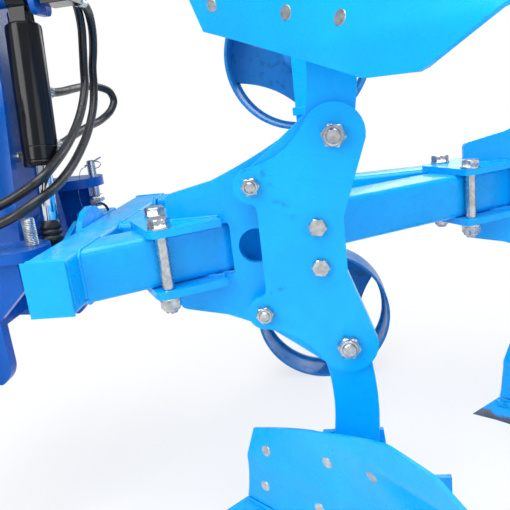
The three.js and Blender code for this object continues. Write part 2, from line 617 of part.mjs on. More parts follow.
// The share: a blade along the bottom of the mouldboard, ending in a point on the wall side.
const SHARE = { point: -312, reach: 46, thick: 11 };
function share() {
  const front = (t) => {
    const s = BOARD_LENGTH * 0.84 * t;
    const foot = boardPoint(s, 0);
    return new THREE.Vector3(foot.x - SHARE.reach, foot.y - 4, SOLE_Z);
  };
  const top = (t) => {
    const s = BOARD_LENGTH * 0.84 * t;
    const [low] = boardEdge(s);
    return boardPoint(s, low - 1.5);
  };
  const stations = [0, 0.12, 0.35, 0.6, 0.8, 1];
  const rings = stations.map((t) => {
    const a = front(t);
    const b = top(t);
    if (t === 0) a.x = SHARE.point;
    const c = b.clone().add(new THREE.Vector3(SHARE.thick, SHARE.thick * 0.8, -4));
    const d = a.clone().add(new THREE.Vector3(46, 10, 0));
    return [a, d, c, b];
  });
  const positions = rings.flat().flatMap((p) => p.toArray());
  const index = [];
  for (let i = 0; i + 1 < rings.length; i += 1) {
    for (let k = 0; k < 4; k += 1) {
      const a = i * 4 + k;
      const b = i * 4 + (k + 1) % 4;
      index.push(a, b + 4, a + 4, a, b, b + 4);
    }
  }
  const last = (rings.length - 1) * 4;
  index.push(0, 2, 1, 0, 3, 2, last, last + 1, last + 2, last, last + 2, last + 3);
  const geometry = new THREE.BufferGeometry();
  geometry.setAttribute("position", new THREE.Float32BufferAttribute(positions, 3));
  geometry.setIndex(index);
  return solid(geometry).subtract(halfSpace([0, WALL_Y], Math.PI / 2));
}
const shareBlade = share().subtract(boardSolid(-6, BOARD + 1.2, 2));
const shareRoom = joined(...[[0, 0, 0], [1, 1, 1], [-1, -1, 1], [1, 1, -1], [-40, 0, 6], [2, 3, 0]]
  .map((step) => share().translate(step)));

const FROG_TOP = -406;
// The frog joins shank, share and board; the landside runs along the furrow wall.
function frog() {
  const web = plateXZ(polygon([[-250, SOLE_Z + 30], [-30, SOLE_Z + 30], [64, SOLE_Z + 82], [50, -521],
    [-98, -521], [-170, -470], [-210, -436], [-250, -436]]), [SHANK_Y[0] + 1, SHANK_Y[1] + 1], 3);
  const cheek = plateXZ(polygon([[-130, -520], [-64, FROG_TOP], [58, FROG_TOP], [70, -540], [-130, -560]]),
    [SHANK_Y[1] + GAP, WALL_Y - 0.5], 3);
  const landside = box([-226, 190], [SHANK_Y[1], WALL_Y], [SOLE_Z, SOLE_Z + 82]);
  const wing = plateXY(polygon([[-240, SHANK_Y[0] + 4], [-30, SHANK_Y[0] + 4], [150, -430], [60, -430]]),
    [SOLE_Z + 40, SOLE_Z + 60], 2);
  const brace = bar(13, [-10, SHANK_Y[0] + 8, SOLE_Z + 66], [224, -460, SOLE_Z + 190], 12);
  return joined(web, cheek, landside, wing, brace).subtract(joined(boardRoom, shareRoom))
    .intersect(box([-400, 300], [-480, WALL_Y], [SOLE_Z, FROG_TOP]));
}
const frogBody = frog();

const largest = (manifold) => manifold.decompose().sort((a, b) => b.volume() - a.volume())[0];

for (let i = 0; i < LEG_COUNT; i += 1) {
  const leg = new THREE.Group();
  leg.position.set(i * LEG_PITCH * Math.cos(BEAM_ANGLE), i * LEG_PITCH * Math.sin(BEAM_ANGLE), 0);
  frame.add(leg);
  const n = i + 1;
  node(`leg_bracket_${n}`, bracket(), BLUE, leg);
  node(`leg_cover_${n}`, plateXZ(coverOutline(), COVER_Y, 6), BLUE, leg);
  [["lower", (m) => m], ["upper", mirrorZ]].forEach(([level, place]) => {
    node(`shank_${level}_${n}`, place(shank()), BLUE, leg);
    node(`frog_${level}_${n}`, place(largest(frogBody)), BLUE, leg);
    node(`mouldboard_${level}_${n}`, place(mouldboard), BLUE, leg);
    node(`share_${level}_${n}`, place(largest(shareBlade)), STEEL, leg);
  });
}

// ---- depth wheels -------------------------------------------------------------------------
const ARM = { x: [-84, -40], y: [392, 440] };
function wheelArm() {
  const [lower, upper] = WHEELS;
  const post = box(ARM.x, ARM.y, [lower.z - 30, upper.z + 30]);
  const sleeve = box([-104, -20], [380, 452], [-70, 70]);
  const foot = box([-130, 6], [SIDE_OUTER_Y - 20, 392], [-48, 48])
    .subtract(tubeAlong(-600, 900, sideY, SIDE_WIDTH + 2 * GAP, SIDE_ANGLE));
  const axles = WHEELS.map(({ x, z }) => bar(17, [x, 400, z], [x, WHEEL_Y + WHEEL_WIDTH + 12, z], 18));
  const collars = [-240, 224].map((z) => box([ARM.x[0] - 8, ARM.x[1] + 8], [ARM.y[0] - 8, ARM.y[1] + 6],
    [z - 10, z + 10]));
  return joined(post, sleeve, foot, ...axles, ...collars);
}
node("wheel_arm", wheelArm(), BLUE, frame);

const RIM = 8; // thickness of the rolled rim
const OPENING = { outer: WHEEL_RADIUS - 16, half: 0.7, bow: 88 };
function wheel(phase) {
  const w = WHEEL_WIDTH;
  const inner = WHEEL_RADIUS - RIM;
  const ring = [[inner, 0], [WHEEL_RADIUS, 0], [WHEEL_RADIUS, w], [inner, w], [inner, 0]];
  const rim = solid(new THREE.LatheGeometry(ring.map(([r, y]) => new THREE.Vector2(r, y)), 36));
  const web = polygon(arcPoints(WHEEL_RADIUS - RIM / 2, 0, 2 * Math.PI, 36).slice(1));
  for (let k = 0; k < 3; k += 1) {
    const middle = THREE.MathUtils.degToRad(phase + 120 * k);
    const outside = arcPoints(OPENING.outer, middle - OPENING.half, middle + OPENING.half, 8);
    const inside = new THREE.QuadraticBezierCurve(outside.at(-1),
      new THREE.Vector2(Math.cos(middle), Math.sin(middle)).multiplyScalar(OPENING.bow), outside[0]);
    web.holes.push(new THREE.Path([...outside, ...inside.getPoints(6).slice(1, -1)]));
  }
  const plate = plateXZ(web, [w - 12, w - 4]);
  const hub = bar(38, [0, 4, 0], [0, w + 2, 0], 18);
  const bore = bar(17.5, [0, -10, 0], [0, w + 20, 0], 16);
  return joined(rim, plate, hub).subtract(bore);
}
WHEELS.forEach(({ level, x, z, phase }) => {
  const mesh = node(`depth_wheel_${level}`, wheel(phase), BLUE, frame);
  mesh.position.set(x, WHEEL_Y, z);
});

// ---- origin at the bottom centre of the box -----------------------------------------------
plough.position.z = MID_HEIGHT;
root.updateMatrixWorld(true);
const bounds = new THREE.Box3().setFromObject(root, true);
const centre = bounds.getCenter(new THREE.Vector3());
plough.position.x -= centre.x;
plough.position.y -= centre.y;
plough.position.z -= bounds.min.z;

export default root;
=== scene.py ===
"""Finishes, fasteners, hoses and fine surfaces for a mounted reversible plough.

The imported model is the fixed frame. Places are worked out in millimetres from the turning axis,
level with the front leg's pivots: +X to the rear, +Y to the right-hand side, +Z up.
"""

import json
import math

import bpy
from bpy.props import FloatProperty, FloatVectorProperty, PointerProperty
from mathutils import Matrix, Vector, noise


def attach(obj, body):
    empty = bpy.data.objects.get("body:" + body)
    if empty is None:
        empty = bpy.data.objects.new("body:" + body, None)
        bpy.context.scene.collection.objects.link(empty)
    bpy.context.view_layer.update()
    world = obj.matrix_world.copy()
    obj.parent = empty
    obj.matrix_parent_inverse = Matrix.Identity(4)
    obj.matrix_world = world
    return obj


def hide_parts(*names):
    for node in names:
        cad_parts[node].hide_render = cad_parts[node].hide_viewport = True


bl_info = {
    "name": "Reversible plough finishes",
    "version": (1, 0, 0),
    "blender": (4, 5, 0),
    "location": "View3D > Sidebar > Plough",
    "description": "Paint, fasteners, hoses, welds and stage for a reversible plough",
    "category": "Object",
}

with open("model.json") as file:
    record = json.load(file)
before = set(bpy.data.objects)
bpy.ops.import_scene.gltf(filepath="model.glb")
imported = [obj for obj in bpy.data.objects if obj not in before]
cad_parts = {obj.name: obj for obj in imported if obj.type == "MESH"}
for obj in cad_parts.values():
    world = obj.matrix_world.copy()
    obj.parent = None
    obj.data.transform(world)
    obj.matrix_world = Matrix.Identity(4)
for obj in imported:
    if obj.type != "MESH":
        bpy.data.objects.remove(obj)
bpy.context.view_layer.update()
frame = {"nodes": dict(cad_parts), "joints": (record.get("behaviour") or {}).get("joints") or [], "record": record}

# Places shared with the frame, in millimetres.
CYLINDER_X = -606
CYLINDER_TOP = 520
CRANK = 75
BEAM_ANGLE = math.radians(30.3)
BEAM_Y = 40.4
LEG_PITCH = 732
LEG_COUNT = 3
PIVOT_Z = 197
SHEAR = (-152, 122)
COVER_OUT = -197
PLATE_BACK = -144.4
PLATE_FRONT = -159.4
LUG_TOP = 65.5
LUG_LOW = 50.5
TUBE = 100
CROSS_REAR = -458
CROSS_FRONT = -538
CROSS_LEFT = -337
CROSS_RIGHT = 314
SIDE_ANGLE = math.radians(5.3)
SIDE_OUTER_Y = 352
MID_HEIGHT = 606
WHEEL_RADIUS = 203
WHEEL_WIDTH = 108
WHEEL_Y = 470
WHEELS = (("lower", -60, WHEEL_RADIUS - MID_HEIGHT, -11), ("upper", -70, 374, -2))
MAST_X = -655
HITCH_X = -860
HITCH_Z = -170
LEAN = math.atan2(CRANK, CYLINDER_TOP)

JOINTS = {joint["name"]: joint for joint in frame["joints"]}
ORIGIN = Vector(JOINTS["turnover"]["pos_m"]) - Vector((CYLINDER_X, 0, 0)) / 1000


def place(point):
    """A point in millimetres from the turning axis, as a place in the frame in metres."""
    return ORIGIN + Vector(point) / 1000


# ---- forms ----

class Form:
    """Gathers closed shapes, in millimetres, that become one mesh."""

    def __init__(self):
        self.points = []
        self.faces = []

    def skin(self, rings, loop=False):
        """Joins rings of equal length, with a cap at each end or closed on themselves."""
        start = len(self.points)
        size = len(rings[0])
        for ring in rings:
            self.points.extend(Vector(p) for p in ring)
        count = len(rings)
        for i in range(count if loop else count - 1):
            a = start + i * size
            b = start + ((i + 1) % count) * size
            for k in range(size):
                m = (k + 1) % size
                self.faces.append((a + k, a + m, b + m, b + k))
        if not loop:
            self.faces.append(tuple(start + k for k in reversed(range(size))))
            self.faces.append(tuple(start + (count - 1) * size + k for k in range(size)))
        return self

    def lathe(self, profile, foot, axis, sides=32, loop=False, turn=0.0):
        """Turns (along, radius) pairs about an axis; a radius may be a function of the angle."""
        u, v, w = basis(axis)
        rings = []
        for z, radius in profile:
            centre = Vector(foot) + w * z
            size = radius if callable(radius) else (lambda _, r=radius: r)
            rings.append([centre + (u * math.cos(a + turn) + v * math.sin(a + turn)) * size(a)
                          for a in (2 * math.pi * k / sides for k in range(sides))])
        return self.skin(rings, loop=loop)

    def prism(self, outline, depth, spread=lambda a, b, c: (a, b, c)):
        """Pushes an outline through a depth; spread turns (a, b, depth) into a point."""
        low, high = depth
        return self.skin([[spread(a, b, low) for a, b in outline],
                          [spread(a, b, high) for a, b in outline]])

    def sweep(self, path, radius, sides=12):
        """Runs a round section along a path; radius is a number or a function of the distance."""
        size = radius if callable(radius) else (lambda _: radius)
        path = [Vector(p) for p in path]
        tangents = [(path[min(i + 1, len(path) - 1)] - path[max(i - 1, 0)]).normalized()
                    for i in range(len(path))]
        side = basis(tangents[0])[0]
        rings = []
        along = 0.0
        for i, point in enumerate(path):
            if i:
                along += (point - path[i - 1]).length
            t = tangents[i]
            side = (side - t * side.dot(t)).normalized()
            up = t.cross(side)
            r = size(along)
            rings.append([point + (side * math.cos(a) + up * math.sin(a)) * r
                          for a in (2 * math.pi * k / sides for k in range(sides))])
        return self.skin(rings)

    def moved(self, matrix):
        """The same form, moved by a matrix."""
        other = Form()
        other.points = [matrix @ p for p in self.points]
        flip = matrix.determinant() < 0
        other.faces = [tuple(reversed(f)) if flip else f for f in self.faces]
        return other

    def add(self, other):
        """Takes in the shapes of another form."""
        start = len(self.points)
        self.points.extend(other.points)
        self.faces.extend(tuple(start + k for k in f) for f in other.faces)
        return self

    def build(self, name, body, slot, bevel=0.0, angle=32, finish=None):
        """Makes the mesh, in metres, and lets it ride on a body.

        The finish is the slot's own if none is named.
        """
        mesh = bpy.data.meshes.new(name)
        mesh.from_pydata([place(p) for p in self.points], [], self.faces)
        mesh.validate()
        piece = bpy.data.objects.new(name, mesh)
        bpy.context.scene.collection.objects.link(piece)
        mesh.materials.append(material(finish or slot))
        soften(piece, bevel, angle)
        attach(piece, body)
        return piece


def basis(axis):
    """Two directions across an axis, and the axis."""
    w = Vector(axis).normalized()
    helper = Vector((0, 0, 1)) if abs(w.z) < 0.9 else Vector((1, 0, 0))
    u = helper.cross(w).normalized()
    return u, w.cross(u), w


class Nodes:
    """Short ways to add nodes to a tree."""

    def __init__(self, tree):
        self.tree = tree

    def node(self, kind, **values):
        item = self.tree.nodes.new(kind)
        for key, value in values.items():
            setattr(item, key, value)
        return item

    def link(self, output, socket):
        self.tree.links.new(output, socket)

    def math(self, operation, *inputs):
        """A math node; each input is a number or an output."""
        item = self.node("ShaderNodeMath", operation=operation)
        for socket, value in zip(item.inputs, inputs):
            if isinstance(value, (int, float)):
                socket.default_value = value
            else:
                self.link(value, socket)
        return item.outputs[0]

    def ramp(self, factor, low, high, dark=0.0, light=1.0):
        item = self.node("ShaderNodeMapRange", interpolation_type="SMOOTHSTEP")
        for socket, value in zip(item.inputs[1:5], (low, high, dark, light)):
            socket.default_value = value
        self.link(factor, item.inputs["Value"])
        return item.outputs["Result"]

    def mix_shaders(self, factor, first, second, end):
        item = self.node("ShaderNodeMixShader")
        for output, socket in zip((factor, first, second), item.inputs):
            self.link(output, socket)
        self.link(item.outputs[0], end)


def smooth_group(angle):
    """A node group that shades smooth across edges flatter than the angle."""
    name = f"Smooth under {angle} degrees"
    if name in bpy.data.node_groups:
        return bpy.data.node_groups[name]
    group = bpy.data.node_groups.new(name, "GeometryNodeTree")
    for way in ("INPUT", "OUTPUT"):
        group.interface.new_socket("Geometry", in_out=way, socket_type="NodeSocketGeometry")
    n = Nodes(group)
    start = n.node("NodeGroupInput")
    end = n.node("NodeGroupOutput")
    normals = n.node("GeometryNodeSetMeshNormal", mode="SHARPNESS")
    normals.inputs["Remove Custom"].default_value = True
    edge = n.node("GeometryNodeInputMeshEdgeAngle")
    compare = n.node("FunctionNodeCompare", operation="GREATER_THAN")
    compare.inputs[1].default_value = math.radians(angle)
    n.link(edge.outputs["Unsigned Angle"], compare.inputs[0])
    n.link(compare.outputs["Result"], normals.inputs["Edge Sharpness"])
    n.link(start.outputs[0], normals.inputs["Mesh"])
    n.link(normals.outputs["Mesh"], end.inputs[0])
    return group


def soften(piece, bevel, angle=32):
    """Rounds a piece's edges by bevel millimetres and smooths its curved faces."""
    shade = piece.modifiers.new("Smooth", "NODES")
    shade.node_group = smooth_group(angle)
    if bevel:
        edge = piece.modifiers.new("Edges", "BEVEL")
        edge.width = bevel / 1000
        edge.segments = 2
        edge.limit_method = "ANGLE"
        edge.angle_limit = math.radians(angle)
        edge.harden_normals = True
        edge.use_clamp_overlap = True


# ---- materials ----

class Surface(Nodes):
    """A new material with plain Principled values, and short ways to add its nodes."""

    def __init__(self, name, colour, roughness, metallic=0.0):
        self.material = bpy.data.materials.new(name)
        self.material.use_nodes = True
        super().__init__(self.material.node_tree)
        self.principled = self.tree.nodes["Principled BSDF"]
        self.where = self.node("ShaderNodeTexCoord").outputs["Object"]
        self.plain("Base Color", (*colour, 1))
        self.plain("Roughness", roughness)
        self.plain("Metallic", metallic)

    def plain(self, socket, value):
        self.principled.inputs[socket].default_value = value

    def feed(self, socket, output):
        self.link(output, self.principled.inputs[socket])

    def noise(self, scale, detail=3.0, stretch=None):
        item = self.node("ShaderNodeTexNoise")
        item.inputs["Scale"].default_value = scale
        item.inputs["Detail"].default_value = detail
        source = self.where
        if stretch:
            mapping = self.node("ShaderNodeMapping")
            mapping.inputs["Scale"].default_value = stretch
            self.link(source, mapping.inputs["Vector"])
            source = mapping.outputs["Vector"]
        self.link(source, item.inputs["Vector"])
        return item.outputs["Fac"]

    def colour_mix(self, factor, first, second):
        """Mixes two colours, each a tuple or an output."""
        item = self.node("ShaderNodeMix", data_type="RGBA")
        sockets = {s.identifier: s for s in item.inputs}
        self.link(factor, sockets["Factor_Float"])
        for key, value in (("A_Color", first), ("B_Color", second)):
            if isinstance(value, tuple):
                sockets[key].default_value = (*value, 1)
            else:
                self.link(value, sockets[key])
        return next(s for s in item.outputs if s.identifier == "Result_Color")

    def bump(self, height, strength, distance, under=None):
        item = self.node("ShaderNodeBump")
        item.inputs["Strength"].default_value = strength
        item.inputs["Distance"].default_value = distance
        self.link(height, item.inputs["Height"])
        if under:
            self.link(under, item.inputs["Normal"])
        return item.outputs["Normal"]

    def facing_up(self):
        geometry = self.node("ShaderNodeNewGeometry")
        split = self.node("ShaderNodeSeparateXYZ")
        self.link(geometry.outputs["Normal"], split.inputs[0])
        return split.outputs["Z"]

    def edges(self):
        geometry = self.node("ShaderNodeNewGeometry")
        return geometry.outputs["Pointiness"]


def scaled(colour, factor):
    return tuple(min(c * factor, 1.0) for c in colour)


DUST = (0.62, 0.60, 0.55)
WARM_ZINC = (0.62, 0.56, 0.42)
RUBBER_DUST = (0.35, 0.33, 0.30)
BARE_ABOVE = (0.604, 0.612)  # how far from the turning axis a share turns from paint to steel, in metres


def paint(name, colour, roughness=0.26, peel=0.12, dust=0.10):
    """Sprayed enamel: orange peel, slight mottling, thin spots on edges and a little dust on top."""
    s = Surface(name, colour, roughness)
    s.plain("Specular IOR Level", 0.25)
    s.plain("Coat Weight", 0.1)
    s.plain("Coat Roughness", 0.1)
    mottled = s.colour_mix(s.ramp(s.noise(5.0, 4.0), 0.35, 0.68), scaled(colour, 0.93), scaled(colour, 1.05))
    thin = s.math("MULTIPLY", s.ramp(s.edges(), 0.53, 0.62), s.ramp(s.noise(60.0, 5.0), 0.52, 0.66))
    worn = s.colour_mix(s.math("MULTIPLY", thin, 0.55), mottled, scaled(colour, 0.45))
    film = s.math("MULTIPLY", s.ramp(s.facing_up(), 0.3, 0.95), s.ramp(s.noise(14.0, 6.0), 0.42, 0.75))
    s.feed("Base Color", s.colour_mix(s.math("MULTIPLY", film, dust), worn, DUST))
    s.feed("Roughness", s.ramp(s.noise(30.0, 5.0), 0.3, 0.75, roughness * 0.8, roughness * 1.35))
    fine = s.bump(s.noise(420.0, 2.0), peel, 0.0006)
    s.feed("Normal", s.bump(s.noise(38.0, 2.0), 0.06, 0.0012, fine))
    return s.material


def plated_steel(name, colour, roughness=0.3):
    """Zinc plate: cloudy grey with faint warm patches and small knocks."""
    s = Surface(name, colour, roughness, 1.0)
    cloudy = s.colour_mix(s.ramp(s.noise(90.0, 4.0), 0.35, 0.7), scaled(colour, 0.78), scaled(colour, 1.12))
    warm = s.ramp(s.noise(26.0, 3.0), 0.55, 0.75, 0.0, 0.35)
    s.feed("Base Color", s.colour_mix(warm, cloudy, WARM_ZINC))
    s.feed("Roughness", s.ramp(s.noise(160.0, 5.0), 0.3, 0.8, roughness * 0.7, roughness * 1.5))
    s.feed("Normal", s.bump(s.noise(500.0, 4.0), 0.25, 0.0004))
    return s.material


def chromed_steel(name, colour):
    """Hard chrome: mirror bright with hair scratches along the stroke."""
    s = Surface(name, colour, 0.08, 1.0)
    hair = s.noise(1.0, 3.0, (900.0, 900.0, 12.0))
    s.feed("Roughness", s.ramp(hair, 0.4, 0.8, 0.05, 0.18))
    s.feed("Normal", s.bump(hair, 0.05, 0.0002))
    return s.material


def moulded_rubber(name, colour, roughness=0.34):
    """Hose and boot rubber: fine cloth mark, dull patches and a little dust."""
    s = Surface(name, colour, roughness)
    s.plain("Specular IOR Level", 0.55)
    patch = s.colour_mix(s.ramp(s.noise(22.0, 5.0), 0.4, 0.75), colour, scaled(colour, 1.6))
    thin = s.ramp(s.noise(48.0, 6.0), 0.4, 0.8, 0.0, 0.04)
    film = s.math("MULTIPLY", s.ramp(s.facing_up(), 0.2, 0.95), thin)
    s.feed("Base Color", s.colour_mix(film, patch, RUBBER_DUST))
    s.feed("Roughness", s.ramp(s.noise(70.0, 4.0), 0.3, 0.8, roughness * 0.75, roughness * 1.35))
    s.feed("Normal", s.bump(s.noise(900.0, 2.0), 0.3, 0.0004))
    return s.material


def ground_steel(name, colour, paint_colour):
    """Painted wear steel, rubbed bare and scratched along the travel near its cutting edge."""
    s = Surface(name, colour, 0.42)
    split = s.node("ShaderNodeSeparateXYZ")
    s.link(s.where, split.inputs[0])
    depth = s.math("ABSOLUTE", s.math("SUBTRACT", split.outputs["Z"], MID_HEIGHT / 1000))
    ragged = s.math("MULTIPLY_ADD", s.noise(30.0, 5.0), 0.03, depth)
    bare = s.ramp(ragged, *BARE_ABOVE)
    s.feed("Metallic", s.math("MULTIPLY", bare, 0.9))
    skin = s.colour_mix(s.ramp(s.noise(9.0, 6.0), 0.4, 0.7), scaled(colour, 0.6), scaled(colour, 1.8))
    s.feed("Base Color", s.colour_mix(bare, paint_colour, skin))
    hair = s.noise(1.0, 4.0, (14.0, 420.0, 420.0))
    s.feed("Roughness", s.ramp(hair, 0.35, 0.75, 0.28, 0.58))
    s.feed("Normal", s.bump(hair, 0.18, 0.0005))
    return s.material


class PloughColours(bpy.types.PropertyGroup):
    """Colours of the finishes."""
    paint: FloatVectorProperty(
        name="Frame paint", description="Enamel on the frame, legs, bodies and wheels",
        subtype="COLOR", size=3, min=0, max=1, default=(0.001, 0.425, 0.97))
    # Painted shade: the frame's enamel darkened to stand in for the shade on the headstock's faces.
    headstock: FloatVectorProperty(
        name="Headstock paint darkened for shade", description="Frame enamel darkened as painted shade on the headstock",
        subtype="COLOR", size=3, min=0, max=1, default=(0.001, 0.10, 0.45))
    # Painted shade: a darker, duller blue that stands in for the shade inside the depth wheels.
    wheel: FloatVectorProperty(
        name="Wheel paint darkened for shade", description="Frame enamel darkened as painted shade on the depth wheels",
        subtype="COLOR", size=3, min=0, max=1, default=(0.012, 0.22, 0.56))
    cylinder: FloatVectorProperty(
        name="Cylinder paint", description="Enamel on the cylinder and the valve",
        subtype="COLOR", size=3, min=0, max=1, default=(0.006, 0.006, 0.008))
    zinc: FloatVectorProperty(
        name="Zinc plate", description="Plating on bolts, nuts, pins and fittings",
        subtype="COLOR", size=3, min=0, max=1, default=(0.60, 0.62, 0.64))
    chrome: FloatVectorProperty(
        name="Chrome", description="Plating on the cylinder rod",
        subtype="COLOR", size=3, min=0, max=1, default=(0.72, 0.73, 0.74))
    rubber: FloatVectorProperty(
        name="Rubber", description="Hoses and the rod boot",
        subtype="COLOR", size=3, min=0, max=1, default=(0.008, 0.008, 0.010))
    share: FloatVectorProperty(
        name="Wear steel", description="Shares",
        subtype="COLOR", size=3, min=0, max=1, default=(0.16, 0.165, 0.17))


class PloughSizes(bpy.types.PropertyGroup):
    """Sizes of the added pieces."""
    edge: FloatProperty(
        name="Edge rounding", description="Rounding of cut plate edges",
        unit="LENGTH", default=0.0012, min=0.0, max=0.004)
    weld: FloatProperty(
        name="Weld size", description="Radius of the weld beads",
        unit="LENGTH", default=0.0042, min=0.002, max=0.008)
    hose: FloatProperty(
        name="Hose diameter", description="Outside diameter of the hydraulic hoses",
        unit="LENGTH", default=0.019, min=0.012, max=0.03)


MATERIALS = {}


def material(key):
    """Makes each finish once, from the colours in the sidebar."""
    colours = bpy.context.scene.plough_colours
    makers = {
        "blue_paint": lambda: paint("Frame paint", tuple(colours.paint)),
        # Painted shade: the headstock gets the frame's enamel darkened for the shade its faces are in.
        "deep_blue_paint": lambda: paint("Headstock paint darkened for shade", tuple(colours.headstock), 0.28),
        # Painted shade: the wheels get a darkened blue for the shade inside their rims.
        "shaded_wheel_paint": lambda: paint("Wheel paint darkened for shade", tuple(colours.wheel), 0.34),
        "black_paint": lambda: paint("Black paint", tuple(colours.cylinder), 0.16, 0.06, 0.02),
        "zinc_plate": lambda: plated_steel("Zinc plate", tuple(colours.zinc)),
        "chrome_rod": lambda: chromed_steel("Chrome", tuple(colours.chrome)),
        "black_rubber": lambda: moulded_rubber("Rubber", tuple(colours.rubber)),
        "wear_steel": lambda: ground_steel("Wear steel", tuple(colours.share), tuple(colours.paint)),
    }
    if key not in MATERIALS:
        MATERIALS[key] = makers[key]()
    return MATERIALS[key]


# ---- fasteners ----

def hex_radius(angle, across):
    return across / 2 / math.cos((angle % (math.pi / 3)) - math.pi / 6)


def hexagon(form, foot, axis, across, height, low_chamfer=False, turn=0.2, cup=0.0):
    """A hexagon with its corners turned off; cup sinks the middle of its top."""
    corner = across / 2 / math.cos(math.pi / 6)
    drop = (corner - across / 2) * 0.6
    levels = [(0, across / 2), (drop, corner)] if low_chamfer else [(0, corner), (0.01, corner)]
    levels += [(height - drop, corner), (height, across / 2 * 0.97)]
    if cup:
        levels += [(height, cup), (height - 0.8, cup * 0.9)]
    profile = [(z, lambda a, limit=limit: min(hex_radius(a, across), limit)) for z, limit in levels]
    return form.lathe(profile, foot, axis, 36, turn=turn)


def washer(form, foot, axis, hole, outside, thick):
    profile = [(0, hole), (0, outside - 0.4), (0.4, outside), (thick - 0.4, outside), (thick, outside - 0.4),
               (thick, hole)]
    return form.lathe(profile, foot, axis, 36, loop=True)


def thread(form, foot, axis, radius, length, pitch=3.0, start=0.0):
    """A threaded end with a chamfered tip, running out along the axis."""
    profile = [(start, radius - 0.1)]
    turns = max(int((length - start - 2) / pitch), 1)
    step = (length - start - 2) / turns
    for k in range(turns):
        z = start + k * step
        profile += [(z + step * 0.15, radius), (z + step * 0.45, radius)]
        profile.append((z + step * 0.8, radius - pitch * 0.28))
    profile += [(length - 1.6, radius - 0.4), (length, radius - 2.2)]
    return form.lathe(profile, foot, axis, 28)


SHEAR_BOLT, CLAMP_BOLT, PIVOT_BOLT = 20, 24, 26
# By bolt size: width across flats, head height, washer thickness and washer radius.
BOLTS = {SHEAR_BOLT: (30, 13, 3.0, 18.5), CLAMP_BOLT: (36, 15, 4.0, 22), PIVOT_BOLT: (39, 17, 4.0, 24)}


def seat(form, foot, axis, size, with_washer):
    """Lays a washer where one is wanted, and gives the place on top."""
    _, _, thick, outside = BOLTS[size]
    if not with_washer:
        return Vector(foot)
    washer(form, foot, axis, size / 2 + 0.5, outside, thick)
    return Vector(foot) + Vector(axis).normalized() * thick


def lock_nut(form, foot, axis, size, stick_out, turn=0.2, with_washer=True):
    """Washer, hexagon nut with a round locking collar, and the end of the bolt standing out of it."""
    across = BOLTS[size][0]
    base = seat(form, foot, axis, size, with_washer)
    high = size * 0.72
    hexagon(form, base, axis, across, high, low_chamfer=True, turn=turn)
    collar = across / 2 * 0.93
    bore = size / 2 + 0.6
    form.lathe([(high - 0.5, collar), (high + size * 0.12, collar * 0.99),
                (high + size * 0.17, collar * 0.94), (high + size * 0.18, bore),
                (high, bore), (high - 0.5, bore)], base, axis, 32, loop=True)
    thread(form, base, axis, size / 2 - 0.2, high + size * 0.18 + stick_out, 3.0, high - 1)


def bolt_head(form, foot, axis, size, turn=0.2, with_washer=True):
    across, high = BOLTS[size][:2]
    hexagon(form, seat(form, foot, axis, size, with_washer), axis, across, high, turn=turn)


def bead(form, path, radius, seed=0.0):
    """A weld bead along a path, with the ripples of its run."""
    dense = resample(path, 1.6)
    def size(along):
        ripple = 0.10 * abs(math.sin(along * math.pi / 4.2 + seed))
        return radius * (0.90 + ripple + 0.10 * noise.noise(Vector((along * 0.05, seed, 0.0))))
    return form.sweep(dense, size, 8)


def resample(path, step):
    path = [Vector(p) for p in path]
    result = [path[0]]
    for a, b in zip(path, path[1:]):
        count = max(int((b - a).length / step), 1)
        result += [a.lerp(b, (k + 1) / count) for k in range(count)]
    return result


def leg_shift(i):
    return Vector((i * LEG_PITCH * math.cos(BEAM_ANGLE), i * LEG_PITCH * math.sin(BEAM_ANGLE), 0))


def along_beam(u, v, z):
    """A place given along and across the main beam."""
    return Vector((u * math.cos(BEAM_ANGLE) - v * math.sin(BEAM_ANGLE),
                   BEAM_Y + u * math.sin(BEAM_ANGLE) + v * math.cos(BEAM_ANGLE), z))


# ---- operators ----

CAMERA_PLACE = (-18.14, -1230.2, 275.1)
CAMERA_YAW, CAMERA_PITCH, CAMERA_ROLL = (math.radians(a) for a in (7.755, 15.075, -6.640))
CAMERA_LENS = 41.25
SKY_COLOUR, SKY_STRENGTH = (0.86, 0.92, 1.0, 1), 0.5
# The floor glows by this share near the plough, and fully past the fade's far end; in metres.
FLOOR_HALF, FLOOR_FADE, FLOOR_GLOW = 14.0, (1.3, 2.8), 0.72
# Each lamp: name, place, aim, size and power.
LAMPS = (
    ("Overhead", (-0.4, -0.6, 3.4), (0.0, 0.1, 0.5), 3.2, 100.0),
    ("Front left", (-2.6, -3.0, 2.4), (-0.3, 0.0, 0.6), 2.4, 66.0),
    ("Front right", (2.4, -3.2, 1.6), (0.2, 0.0, 0.6), 2.4, 20.0),
    ("Behind", (0.8, 3.4, 2.4), (0.0, 0.0, 0.6), 2.6, 45.0),
)


